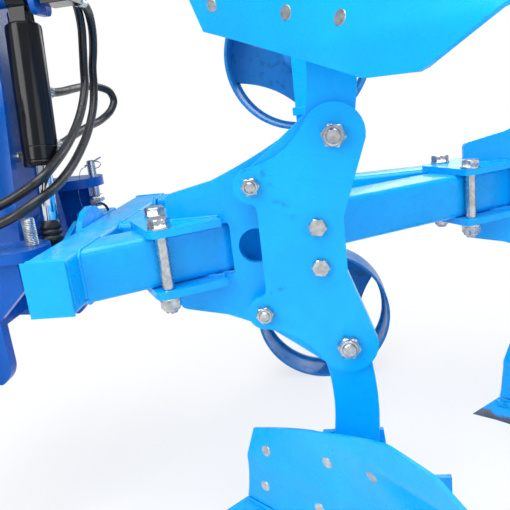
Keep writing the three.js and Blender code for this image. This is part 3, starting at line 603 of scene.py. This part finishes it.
class PLOUGH_OT_stage(bpy.types.Operator):
    """Camera, lights, backdrop and pale floor"""
    bl_idname = "plough.stage"
    bl_label = "Stage"

    def execute(self, context):
        self.camera(context.scene)
        self.world(context.scene)
        self.floor()
        self.lamps()
        context.scene.view_settings.view_transform = "Standard"
        return {"FINISHED"}

    def camera(self, scene):
        data = bpy.data.cameras.new("Camera")
        data.lens = CAMERA_LENS
        data.sensor_width = 36
        data.clip_start = 0.02
        camera = bpy.data.objects.new("Camera", data)
        scene.collection.objects.link(camera)
        sy, cy = math.sin(CAMERA_YAW), math.cos(CAMERA_YAW)
        sp, cp = math.sin(CAMERA_PITCH), math.cos(CAMERA_PITCH)
        sr, cr = math.sin(CAMERA_ROLL), math.cos(CAMERA_ROLL)
        ahead = Vector((-sy * cp, cy * cp, -sp))
        right = Vector((cy, sy, 0))
        up = right.cross(ahead)
        x_axis = right * cr + up * sr
        y_axis = up * cr - right * sr
        turn = Matrix((x_axis, y_axis, -ahead)).transposed().to_4x4()
        camera.matrix_world = Matrix.Translation(place(CAMERA_PLACE)) @ turn
        scene.camera = camera

    def world(self, scene):
        """White to the camera, a soft sky to everything else."""
        world = bpy.data.worlds.new("Studio")
        scene.world = world
        world.use_nodes = True
        world.node_tree.nodes.clear()
        n = Nodes(world.node_tree)
        output = n.node("ShaderNodeOutputWorld")
        seen = n.node("ShaderNodeLightPath").outputs["Is Camera Ray"]
        shades = []
        for colour, strength in ((SKY_COLOUR, SKY_STRENGTH), ((1, 1, 1, 1), 1.0)):
            shade = n.node("ShaderNodeBackground")
            shade.inputs["Color"].default_value = colour
            shade.inputs["Strength"].default_value = strength
            shades.append(shade.outputs[0])
        n.mix_shaders(seen, *shades, output.inputs["Surface"])

    def floor(self):
        """A pale plane that takes the shadow near the plough and is white further out."""
        half = FLOOR_HALF
        mesh = bpy.data.meshes.new("Floor")
        mesh.from_pydata([(-half, -half, 0), (half, -half, 0), (half, half, 0), (-half, half, 0)], [],
                         [(0, 1, 2, 3)])
        floor = bpy.data.objects.new("Floor", mesh)
        bpy.context.scene.collection.objects.link(floor)
        s = Surface("Pale floor", (0.90, 0.90, 0.90), 0.9)
        distance = s.node("ShaderNodeVectorMath", operation="LENGTH")
        s.link(s.where, distance.inputs[0])
        fade = s.ramp(distance.outputs["Value"], FLOOR_FADE[0], FLOOR_FADE[1], FLOOR_GLOW, 1.0)
        path = s.node("ShaderNodeLightPath")
        seen = s.math("MAXIMUM", path.outputs["Is Camera Ray"], path.outputs["Is Glossy Ray"])
        glow = s.node("ShaderNodeEmission").outputs[0]
        s.mix_shaders(s.math("MULTIPLY", seen, fade), s.principled.outputs[0], glow,
                      s.tree.nodes["Material Output"].inputs["Surface"])
        mesh.materials.append(s.material)

    def lamps(self):
        for name, spot, aim, size, power in LAMPS:
            data = bpy.data.lights.new(name, "AREA")
            data.shape = "DISK"
            data.size = size
            data.energy = power
            lamp = bpy.data.objects.new(name, data)
            bpy.context.scene.collection.objects.link(lamp)
            lamp.location = spot
            lamp.rotation_euler = (Vector(aim) - Vector(spot)).to_track_quat("-Z", "Y").to_euler()


HOSE_A = [
    (-530, 56.5, 530), (-530, 84, 529), (-534, 120, 512), (-542, 146, 472), (-551, 155, 428),
    (-555, 150, 386), (-555, 136, 345), (-554, 95, 298), (-554, 39, 255), (-554, -25, 221),
    (-554, -98, 192), (-563, -156, 168), (-601, -173, 146), (-645, -180, 128), (-692, -186, 116),
    (-722, -182, 130), (-737, -168, 166), (-736, -154, 206), (-735, -150, 240), (-735, -150, 269.5),
]
HOSE_B = [
    (-508, 56.5, 512), (-508, 86, 511), (-514, 130, 498), (-526, 168, 464), (-540, 190, 424),
    (-552, 197, 384), (-554, 190, 345), (-554, 163, 296), (-554, 104, 242), (-554, 44, 206),
    (-554, -26, 174), (-554, -109, 148), (-563, -174, 132), (-593, -200, 114), (-636, -207, 97),
    (-690, -211, 86), (-722, -214, 98), (-737, -208, 132), (-737, -198, 172), (-735, -191, 216),
    (-735, -190, 246), (-735, -190, 269.5),
]
HOSE_C = [
    (-606, 29, 339), (-606, 60, 334.5), (-606, 120, 336), (-603, 180, 342), (-598, 250, 347),
    (-584, 300, 344), (-566, 328, 330), (-560, 332, 308), (-566, 316, 284), (-580, 270, 262),
    (-592, 200, 249), (-600, 130, 236), (-605, 80, 224), (-606, 44, 220.7), (-606, 12.8, 225.2),
]


def curve_through(points, steps=8):
    """A smooth line through points, with even pace on long and short spans."""
    points = [Vector(p) for p in points]
    ends = [2 * points[0] - points[1], *points, 2 * points[-1] - points[-2]]
    line = [points[0]]
    for p0, p1, p2, p3 in zip(ends, ends[1:], ends[2:], ends[3:]):
        t0 = 0.0
        t1 = t0 + (p1 - p0).length ** 0.5
        t2 = t1 + (p2 - p1).length ** 0.5
        t3 = t2 + (p3 - p2).length ** 0.5
        for k in range(1, steps + 1):
            t = t1 + (t2 - t1) * k / steps
            a1 = p0.lerp(p1, (t - t0) / (t1 - t0))
            a2 = p1.lerp(p2, (t - t1) / (t2 - t1))
            a3 = p2.lerp(p3, (t - t2) / (t3 - t2))
            b1 = a1.lerp(a2, (t - t0) / (t2 - t0))
            b2 = a2.lerp(a3, (t - t1) / (t3 - t1))
            line.append(b1.lerp(b2, (t - t1) / (t2 - t1)))
    return line


class PLOUGH_OT_hoses(bpy.types.Operator):
    """Hydraulic hoses with their crimped ends"""
    bl_idname = "plough.hoses"
    bl_label = "Hoses"

    def execute(self, context):
        self.radius = context.scene.plough_sizes.hose * 500
        nodes = frame["nodes"]
        self.hose("Hose A", HOSE_A, "hose_a", "headstock", 0.92, "connector", [nodes["coupler_a"]])
        self.hose("Hose B", HOSE_B, "hose_b", "headstock", 1.06, "connector", [nodes["coupler_b"]])
        self.hose("Hose C", HOSE_C, "hose_c", "barrel", 0.68, "object", [])
        return {"FINISHED"}

    def hose(self, name, points, node, body, length, far_end, with_pieces):
        line = curve_through(points)
        piece_name = name.replace(" ", "_").lower() + "_rubber"
        piece = Form().sweep(line, self.radius, 24).build(piece_name, body, "black_rubber")
        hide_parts(node)
        fittings = Form()
        for end, towards in ((line[0], line[4]), (line[-1], line[-5])):
            self.crimp(fittings, end, towards - end)
        sleeve = fittings.build(piece_name.replace("rubber", "ferrules"), body, "zinc_plate", 0.3)

    def crimp(self, form, end, axis):
        """Swaged sleeve over the hose, with flats pressed round it."""
        walls = ((1.0, 1.6, 0), (3.0, 3.0, 0), (6.0, 3.2, 0), (8.0, 2.4, 1), (24.0, 2.2, 1), (27.0, 2.9, 0),
                 (31.0, 2.8, 0), (32.0, 1.2, 0))
        form.lathe([(z, lambda a, wall=wall, flat=flat: self.radius + wall - 0.9 * flat * math.cos(8 * a))
                    for z, wall, flat in walls], end, axis, 48)


class PLOUGH_OT_paintwork(bpy.types.Operator):
    """Finishes and rounded edges on the frame's own pieces"""
    bl_idname = "plough.paintwork"
    bl_label = "Paintwork"

    def execute(self, context):
        edge = context.scene.plough_sizes.edge * 1000
        finish = {entry["node"]: entry["material_slot"] for entry in frame["record"]["subparts"]}
        for name, piece in frame["nodes"].items():
            if piece.hide_render:
                continue
            for slot in piece.material_slots:
                # The depth wheels take the darker paint that stands in for their shade.
                slot.material = material("shaded_wheel_paint" if "depth_wheel" in name else finish[name])
            weld = piece.modifiers.new("Join", "WELD")
            weld.merge_threshold = 0.00002
            flat = piece.modifiers.new("Flatten", "DECIMATE")
            flat.decimate_type = "DISSOLVE"
            flat.angle_limit = math.radians(0.6)
            soften(piece, edge)
        return {"FINISHED"}


COVER_BOLT = (-40, 38)


class PLOUGH_OT_leg_bolts(bpy.types.Operator):
    """Pivot, shear and cover bolts of the legs"""
    bl_idname = "plough.leg_bolts"
    bl_label = "Leg bolts"

    def execute(self, context):
        for i in range(LEG_COUNT):
            form = Form()
            shift = leg_shift(i)
            for side in (-1, 1):
                turn = 0.35 + 0.5 * side + i
                self.pair(form, shift, (0, side * PIVOT_Z), PIVOT_BOLT, 5, turn)
                self.pair(form, shift, (SHEAR[0], side * SHEAR[1]), SHEAR_BOLT, 4, turn + 0.3)
                self.cover_bolt(form, shift, (COVER_BOLT[0], side * COVER_BOLT[1]), turn)
            form.build(f"leg_bolts_{i + 1}", "frame", "zinc_plate", 0.35)
        return {"FINISHED"}

    def pair(self, form, shift, spot, size, stick_out, turn):
        x, z = spot
        lock_nut(form, shift + Vector((x, COVER_OUT, z)), (0, -1, 0), size, stick_out, turn, False)
        bolt_head(form, shift + Vector((x, PLATE_BACK, z)), (0, 1, 0), size, turn)

    def cover_bolt(self, form, shift, spot, turn):
        x, z = spot
        bolt_head(form, shift + Vector((x, COVER_OUT, z)), (0, -1, 0), SHEAR_BOLT, turn, False)
        lock_nut(form, shift + Vector((x, PLATE_BACK, z)), (0, 1, 0), SHEAR_BOLT, 4, turn)


CLAMP_FRONT = (-412, -385)
CLAMP_REAR = -118
CLAMP_OUT = 63.5
SHANK_PROFILE = ((0, 11.3), (0.6, 11.9), (99.4, 11.9), (100, 11.3))


class PLOUGH_OT_clamp_bolts(bpy.types.Operator):
    """Long bolts that clamp each leg to the main beam"""
    bl_idname = "plough.clamp_bolts"
    bl_label = "Clamp bolts"

    def execute(self, context):
        spots = ((CLAMP_FRONT[0], -CLAMP_OUT), (CLAMP_FRONT[1], CLAMP_OUT + 3), (CLAMP_REAR, CLAMP_OUT + 3),
                 (CLAMP_REAR + 8, -CLAMP_OUT))
        for i in range(LEG_COUNT):
            form = Form()
            for k, (u, v) in enumerate(spots):
                spot = along_beam(u, v, 0) + leg_shift(i)
                turn = 0.9 + 0.7 * k + i
                bolt_head(form, spot + Vector((0, 0, LUG_TOP)), (0, 0, 1), CLAMP_BOLT, turn)
                lock_nut(form, spot - Vector((0, 0, LUG_TOP)), (0, 0, -1), CLAMP_BOLT, 6, turn)
                form.lathe(SHANK_PROFILE, spot - Vector((0, 0, 50)), (0, 0, 1), 28)
            form.build(f"clamp_bolts_{i + 1}", "frame", "zinc_plate", 0.35)
        return {"FINISHED"}


def cylinder_place(x, across, down):
    """A place on the turnover cylinder: across to the right of it, and down it from its top pin."""
    return Vector((CYLINDER_X + x, across * math.cos(LEAN) - down * math.sin(LEAN),
                   CYLINDER_TOP - across * math.sin(LEAN) - down * math.cos(LEAN)))


BARREL_RADIUS = 36.5
BARREL_END = 340
ROD_RADIUS = 17.5
EYE_HALF = 20
PORTS = (175, 290)
CYLINDER_DOWN = Vector((0, -math.sin(LEAN), -math.cos(LEAN)))
CYLINDER_ACROSS = Vector((0, math.cos(LEAN), -math.sin(LEAN)))


class PLOUGH_OT_cylinder(bpy.types.Operator):
    """Turnover cylinder: barrel, gland, ports, rod, rod eye and boot"""
    bl_idname = "plough.cylinder"
    bl_label = "Turnover cylinder"

    def execute(self, context):
        top = cylinder_place(0, 0, 0)
        reach = math.hypot(CRANK, CYLINDER_TOP)
        self.barrel(top)
        self.rod(top, reach)
        self.boot(top, reach)
        return {"FINISHED"}

    def eye(self, form, centre, outside, hole, half):
        profile = [(-half, hole), (-half, outside - 1), (-half + 1, outside), (half - 1, outside),
                   (half, outside - 1), (half, hole)]
        return form.lathe(profile, centre, (1, 0, 0), 40, loop=True)

    def barrel(self, top):
        form = Form()
        r, end = BARREL_RADIUS, BARREL_END
        groove = r - 0.8
        tube = [(50, 20), (52, 32), (56, r - 0.7), (62, r), (end - 42, r), (end - 41, groove), (end - 40, r),
                (end - 14, r), (end - 13, groove), (end - 11, groove), (end - 10, r), (end - 4, r),
                (end - 0.5, r - 2), (end, 26), (end - 3, 19), (end - 10, 18)]
        form.lathe(tube, top, CYLINDER_DOWN, 56)
        self.eye(form, top, 28, 15.3, EYE_HALF)
        form.prism([(-18, 18), (18, 18), (22, 56), (-22, 56)], (-17, 17),
                   lambda a, b, c: cylinder_place(c, a, b))
        for down in PORTS:
            foot = cylinder_place(0, 30, down)
            form.lathe([(0, 15), (4, 14), (14, 13), (14.5, 12)], foot, CYLINDER_ACROSS, 32)
        barrel = form.build("barrel_tube", "barrel", "black_paint", 0.5)
        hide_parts("cylinder_barrel")
        fittings = Form()
        for down in PORTS:
            hexagon(fittings, cylinder_place(0, 43, down), CYLINDER_ACROSS, 20, 11)
        fittings.build("barrel_fittings", "barrel", "zinc_plate", 0.3)

    def rod(self, top, reach):
        r = ROD_RADIUS
        rod = Form().lathe([(240, r - 1.5), (241, r), (reach - 28, r), (reach - 27, r - 0.5)],
                           top, CYLINDER_DOWN, 56)
        stem = rod.build("rod_stem", "rod", "chrome_rod")
        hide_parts("cylinder_rod")
        end = Form()
        centre = cylinder_place(0, 0, reach)
        half = EYE_HALF
        end.lathe([(-half - 2, 13), (-half - 1, 15), (-half, 15), (-half, 25), (1 - half, 26),
                   (half - 1, 26), (half, 25), (half, 15), (half + 1, 15), (half + 2, 13)],
                  centre, (1, 0, 0), 40)
        end.lathe([(reach - 34, 15), (reach - 32, 21), (reach - 14, 21), (reach - 13, 18)],
                  top, CYLINDER_DOWN, 40)
        end.build("rod_eye", "rod", "black_paint", 0.5)

    def boot(self, top, reach):
        base = reach - 27
        folds = [(1, 18.2), (0, 24.6), (-4, 25.5), (-9, 24.6), (-13, 20.8), (-17, 23.6), (-21, 23.9),
                 (-25, 20.4), (-29, 22.4), (-33, 22.4), (-37, 19.9), (-44, 19.4), (-45, 18.0)]
        folds = [(base + along, radius) for along, radius in folds]
        boot = Form().lathe(folds, top, CYLINDER_DOWN, 48)
        piece = boot.build("rod_boot_rubber", "rod", "black_rubber", 0.0, 60)
        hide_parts("rod_boot")


BOARD_LOW = 46
BOARD_HIGH = 324
BOARD_LENGTH = 540
SHIN_X = -232
SHIN_Y = -151


def shin_x(h):
    below = max(130 - h, 0) / 130
    return SHIN_X - 23 * below ** 2 + 0.328 * max(h - 148, 0)


def board_point(s, h):
    """A point on the working face, s along it from the shin and h above the sole."""
    rise = h / BOARD_HIGH
    along = s / BOARD_LENGTH
    angle = math.radians(40 - 5 * math.sin(math.pi * min(rise * 1.2, 1)) + 4 * rise)
    curl = 90 * along ** 2 * rise ** 2
    return Vector((shin_x(h) + s * math.cos(angle) - 0.35 * curl, SHIN_Y - s * math.sin(angle) - curl,
                   h - MID_HEIGHT))


def board_edge(s):
    along = s / BOARD_LENGTH
    low = BOARD_LOW + 22 * max(along - 0.62, 0) / 0.38
    high = BOARD_HIGH - 112 * max(0.58 - along, 0) / 0.58 - 60 * max(along - 0.76, 0) / 0.24
    return low, high


def board_normal(s, h):
    """The way out of the working face."""
    here = board_point(s, h)
    return (board_point(s + 4, h) - here).cross(board_point(s, h + 4) - here).normalized()


class PLOUGH_OT_bodies(bpy.types.Operator):
    """Mouldboards with their plough bolts"""
    bl_idname = "plough.bodies"
    bl_label = "Plough bodies"

    def execute(self, context):
        board = self.board()
        bolts = self.bolts()
        for i in range(LEG_COUNT):
            for level, mirror in (("lower", 1), ("upper", -1)):
                move = Matrix.Translation(leg_shift(i)) @ Matrix.Diagonal((1, 1, mirror, 1))
                name = f"mouldboard_skin_{level}_{i + 1}"
                piece = board.moved(move).build(name, "frame", "blue_paint", 1.0)
                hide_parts(f"mouldboard_{level}_{i + 1}")
                bolts.moved(move).build(f"body_bolts_{level}_{i + 1}", "frame", "zinc_plate", 0.3)
        return {"FINISHED"}

    def board(self, columns=40, rows=26, thick=8):
        def grid(offset):
            rings = []
            for i in range(columns + 1):
                ring = []
                for j in range(rows + 1):
                    s = (BOARD_LENGTH - 110 * (1 - j / rows)) * i / columns
                    low, high = board_edge(s)
                    h = low + (high - low) * j / rows
                    ring.append(board_point(s, h) - board_normal(s, h) * offset)
                rings.append(ring)
            return rings
        front, back = grid(0), grid(thick)
        form = Form()
        return form.skin([[*a, *reversed(b)] for a, b in zip(front, back)])

    def bolts(self):
        """Countersunk heads in the face, with their nuts behind."""
        form = Form()
        for s, h in ((48, 90), (48, 175), (190, 100), (200, 215), (300, 240)):
            spot = board_point(s, h)
            out = board_normal(s, h)
            form.lathe([(-3, 9), (0.4, 11.5), (0.9, 10.8), (1.0, 8)], spot, out, 28)
            hexagon(form, spot - out * 8, -out, 19, 9, turn=h)
        return form


class PLOUGH_OT_depth_wheels(bpy.types.Operator):
    """Rolled steel depth wheels with their hubs"""
    bl_idname = "plough.depth_wheels"
    bl_label = "Depth wheels"

    def execute(self, context):
        for level, x, z, phase in WHEELS:
            centre = Vector((x, WHEEL_Y, z))
            wheel = self.rim(centre).add(self.web(centre, math.radians(phase))).add(self.hub(centre))
            # The wheel's finish is the darkened paint that stands in for the shade inside it.
            piece = wheel.build(f"wheel_{level}", f"wheel_{level}", "blue_paint", 0.6,
                                finish="shaded_wheel_paint")
            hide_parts(f"depth_wheel_{level}")
            self.hub_cap(centre).build(f"wheel_cap_{level}", f"wheel_{level}", "zinc_plate", 0.3)
        return {"FINISHED"}

    def rim(self, centre):
        r, w = WHEEL_RADIUS, WHEEL_WIDTH
        return Form().lathe([(1.5, r - 8), (0, r - 6.5), (0, r - 1.5), (1.5, r), (w - 1.5, r), (w, r - 1.5),
                             (w, r - 6.5), (w - 1.5, r - 8)], centre, (0, 1, 0), 128, loop=True)

    def web(self, centre, phase, outer=187, half=0.7, bow=88, steps=28):
        """The disc, with three openings left between its spokes, and the band outside each one."""
        near, far, seat = WHEEL_WIDTH - 12, WHEEL_WIDTH - 4, WHEEL_RADIUS - 7
        section = lambda angle, low, high: [
            centre + Vector((r * math.cos(angle), y, r * math.sin(angle)))
            for r, y in ((low, near), (high, near), (high, far), (low, far))]
        form = Form()
        disc = []
        for k in range(3):
            middle = phase + 2 * math.pi * k / 3
            for n in range(steps + 1):
                t = n / steps
                bowed = outer * math.cos(half) - 2 * t * (1 - t) * (outer * math.cos(half) - bow)
                aside = outer * math.sin(half) * (2 * t - 1)
                disc.append(section(middle + math.atan2(aside, bowed), 36, math.hypot(bowed, aside)))
            spoke = 2 * math.pi / 3 - 2 * half
            disc += [section(middle + half + spoke * n / 8, 36, seat) for n in range(0, 9)]
            turns = [middle + (half + 0.02) * (2 * n / steps - 1) for n in range(steps + 1)]
            form.skin([section(turn, outer, seat) for turn in turns])
        return form.skin(disc, loop=True)

    def hub(self, centre):
        end = WHEEL_WIDTH + 2
        return Form().lathe([(4, 18), (4, 33), (7, 38), (end - 4, 38), (end, 34), (end, 18)],
                            centre, (0, 1, 0), 48, loop=True)

    def hub_cap(self, centre):
        """The washer and nut that hold the hub on its axle."""
        form = Form()
        foot = centre + Vector((0, WHEEL_WIDTH + 2.5, 0))
        washer(form, foot, (0, 1, 0), 17.6, 28, 4)
        hexagon(form, foot + Vector((0, 4, 0)), (0, 1, 0), 41, 5, cup=17.8)
        return form


STOP_SCREW = Vector((-604, -160, 0))
LOCK_PIN = Vector((-588, 166, 0))
LOCK_WIRE = ((-12, -2, 156), (-24, -8, 150), (-30, -16, 128), (-36, -20, 100), (-38, -14, 70), (-36, -6, 52))
MAST_BOLT = (MAST_X, -52, 209)
CHEEK_BOLTS = (-740, 212, (-90, -70))
LINK_PIN_Y = 342
GREASE_LINE = ((-560, 14, 50), (-558, 22, 66), (-554, 40, 76), (-550, 66, 78), (-547, 92, 72),
               (-546, 112, 60), (-546, 118, 51))
FULL_TURN = [2 * math.pi * k / 40 for k in range(41)]


class PLOUGH_OT_headstock_trim(bpy.types.Operator):
    """Stop screws, pins, linch ring, grease pipe and cylinder pins on the headstock"""
    bl_idname = "plough.headstock_trim"
    bl_label = "Headstock trim"

    def execute(self, context):
        self.stop_screw()
        self.lock_pin()
        form = Form()
        self.bolts(form)
        self.hitch_pins(form)
        form.build("headstock_fasteners", "headstock", "zinc_plate", 0.3)
        self.crank_pin()
        pipe = Form().sweep(curve_through(GREASE_LINE), 3.2, 12)
        pipe.build("grease_pipe", "frame", "black_rubber")
        return {"FINISHED"}

    def stop_screw(self):
        screw = Form()
        thread(screw, STOP_SCREW + Vector((0, 0, -23)), (0, 0, 1), 13.2, 119, 3.4)
        hexagon(screw, STOP_SCREW + Vector((0, 0, 19.6)), (0, 0, -1), 41, 20)
        piece = screw.build("tilt_screw_thread", "headstock", "zinc_plate", 0.2)
        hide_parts("tilt_screw")

    def lock_pin(self):
        """The smooth pin with its nut, linch ring, cross pin and wire."""
        pin = Form()
        pin.lathe([(56, 9), (57, 10), (166, 10), (169, 9), (170, 7)], LOCK_PIN, (0, 0, 1), 40)
        hexagon(pin, LOCK_PIN + Vector((0, 0, 84)), (0, 0, -1), 32, 16)
        pin.sweep([LOCK_PIN + Vector((10 + 15 * math.cos(a), 3 * math.sin(a), 158 + 8 * math.sin(a)))
                   for a in FULL_TURN], 1.3, 8)
        pin.sweep([LOCK_PIN + Vector((-16 + 3 * k, 0, 157 + 1.2 * k)) for k in range(16)], 1.9, 8)
        pin.sweep(curve_through([LOCK_PIN + Vector(p) for p in LOCK_WIRE]), 0.9, 6)
        piece = pin.build("lock_pin_and_linch", "headstock", "zinc_plate", 0.3)
        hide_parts("lock_pin")

    def bolts(self, form):
        hexagon(form, MAST_BOLT, (1, 0, 0), 19, 8, cup=5.5)
        x, y, heights = CHEEK_BOLTS
        for side in (-1, 1):
            for z in heights:
                hexagon(form, (x, side * y, z), (0, side, 0), 24, 10)

    def hitch_pins(self, form):
        for side in (-1, 1):
            foot = Vector((HITCH_X, side * LINK_PIN_Y, HITCH_Z))
            form.lathe([(0, 20), (2, 24), (6, 24), (7, 22)], foot, (0, side, 0), 40)
            form.sweep([foot + Vector((22 * math.cos(a), side * 88, 22 * math.sin(a))) for a in FULL_TURN],
                       1.8, 8)

    def crank_pin(self):
        form = Form()
        for x, axis in ((-642, -1), (-570, 1)):
            form.lathe([(0, 15), (1, 20), (5, 20), (6, 18)], (x, -CRANK, 0), (axis, 0, 0), 40)
        form.lathe([(0, 4), (6, 4), (7, 3), (8, 5), (11, 5), (12, 3)], (-564, -CRANK, 0), (1, 0, 0), 20)
        form.build("crank_pin_caps", "frame", "zinc_plate", 0.3)


class PLOUGH_OT_welds(bpy.types.Operator):
    """Weld beads where plates and tubes meet"""
    bl_idname = "plough.welds"
    bl_label = "Welds"

    def execute(self, context):
        radius = context.scene.plough_sizes.weld * 1000
        frame_welds = Form()
        self.beam_joint(frame_welds, radius)
        self.cap_seams(frame_welds, radius * 0.5)
        for i in range(LEG_COUNT):
            self.lug_joint(frame_welds, radius, leg_shift(i))
        self.end_caps()
        frame_welds.build("frame_welds", "frame", "blue_paint", 0.0, 80)
        return {"FINISHED"}

    def around_tube(self, centre_y, width, angle):
        """Where a tube's outline meets the rear face of the cross member."""
        half = width / 2 / math.cos(angle)
        top = TUBE / 2
        r = 12
        corners = [(centre_y - half, -top + r), (centre_y - half, top - r), (centre_y - half + r, top),
                   (centre_y + half - r, top), (centre_y + half, top - r), (centre_y + half, -top + r),
                   (centre_y + half - r, -top), (centre_y - half + r, -top), (centre_y - half, -top + r)]
        return [(CROSS_REAR + 0.5, y, z) for y, z in corners]

    def beam_joint(self, form, radius):
        main_y = BEAM_Y + CROSS_REAR * math.tan(BEAM_ANGLE)
        side_y = SIDE_OUTER_Y - TUBE / 2 / math.cos(SIDE_ANGLE) + CROSS_REAR * math.tan(SIDE_ANGLE)
        bead(form, self.around_tube(main_y, TUBE, BEAM_ANGLE), radius)
        bead(form, self.around_tube(14, 152, 0), radius, 0.4)
        bead(form, self.around_tube(side_y, TUBE, SIDE_ANGLE), radius, 0.8)

    def cap_seams(self, form, radius):
        x0, x1, top, r = CROSS_FRONT, CROSS_REAR, TUBE / 2, 9
        corners = [(x0 + r, top), (x1 - r, top), (x1, top - r), (x1, -top + r), (x1 - r, -top),
                   (x0 + r, -top), (x0, -top + r), (x0, top - r), (x0 + r, top)]
        for y in (CROSS_LEFT + 6, CROSS_RIGHT - 6):
            bead(form, [(x, y, z) for x, z in corners], radius, 0.3)

    def end_caps(self):
        """Flat plates that close the cross member."""
        caps = Form()
        half = TUBE / 2
        outline = [(CROSS_FRONT, -half), (CROSS_REAR, -half), (CROSS_REAR, half), (CROSS_FRONT, half)]
        for low, high in ((CROSS_LEFT - 3, CROSS_LEFT + 0.2), (CROSS_RIGHT - 0.2, CROSS_RIGHT + 3)):
            caps.prism(outline, (low, high), lambda a, b, c: (a, c, b))
        caps.build("cross_member_caps", "frame", "blue_paint", 0.6)

    def lug_joint(self, form, radius, shift):
        for z in (LUG_TOP, LUG_LOW, -LUG_LOW, -LUG_TOP):
            for y, left, right in ((PLATE_FRONT, -320, -226), (PLATE_BACK, -322, -40)):
                bead(form, [Vector((x, y, z)) + shift for x in (left, right)], radius * 0.8, z * 0.01)


class PLOUGH_PT_panel(bpy.types.Panel):
    """The plough's operators, sizes and colours"""
    bl_idname = "PLOUGH_PT_panel"
    bl_label = "Plough"
    bl_space_type = "VIEW_3D"
    bl_region_type = "UI"
    bl_category = "Plough"

    def draw(self, context):
        for group in (context.scene.plough_sizes, context.scene.plough_colours):
            for key in group.bl_rna.properties.keys():
                if key not in {"rna_type", "name"}:
                    self.layout.prop(group, key)
        for operator in OPERATORS:
            self.layout.operator(operator.bl_idname)


OPERATORS = (
    PLOUGH_OT_stage,
    PLOUGH_OT_hoses,
    PLOUGH_OT_cylinder,
    PLOUGH_OT_bodies,
    PLOUGH_OT_depth_wheels,
    PLOUGH_OT_headstock_trim,
    PLOUGH_OT_leg_bolts,
    PLOUGH_OT_clamp_bolts,
    PLOUGH_OT_welds,
    PLOUGH_OT_paintwork,
)
CLASSES = (PloughColours, PloughSizes, *OPERATORS, PLOUGH_PT_panel)


def register():
    for item in CLASSES:
        bpy.utils.register_class(item)
    bpy.types.Scene.plough_colours = PointerProperty(type=PloughColours)
    bpy.types.Scene.plough_sizes = PointerProperty(type=PloughSizes)


def unregister():
    del bpy.types.Scene.plough_sizes
    del bpy.types.Scene.plough_colours
    for item in reversed(CLASSES):
        bpy.utils.unregister_class(item)


def main():
    register()
    for operator in OPERATORS:
        group, name = operator.bl_idname.split(".")
        getattr(getattr(bpy.ops, group), name)()


if __name__ == "__main__":
    main()
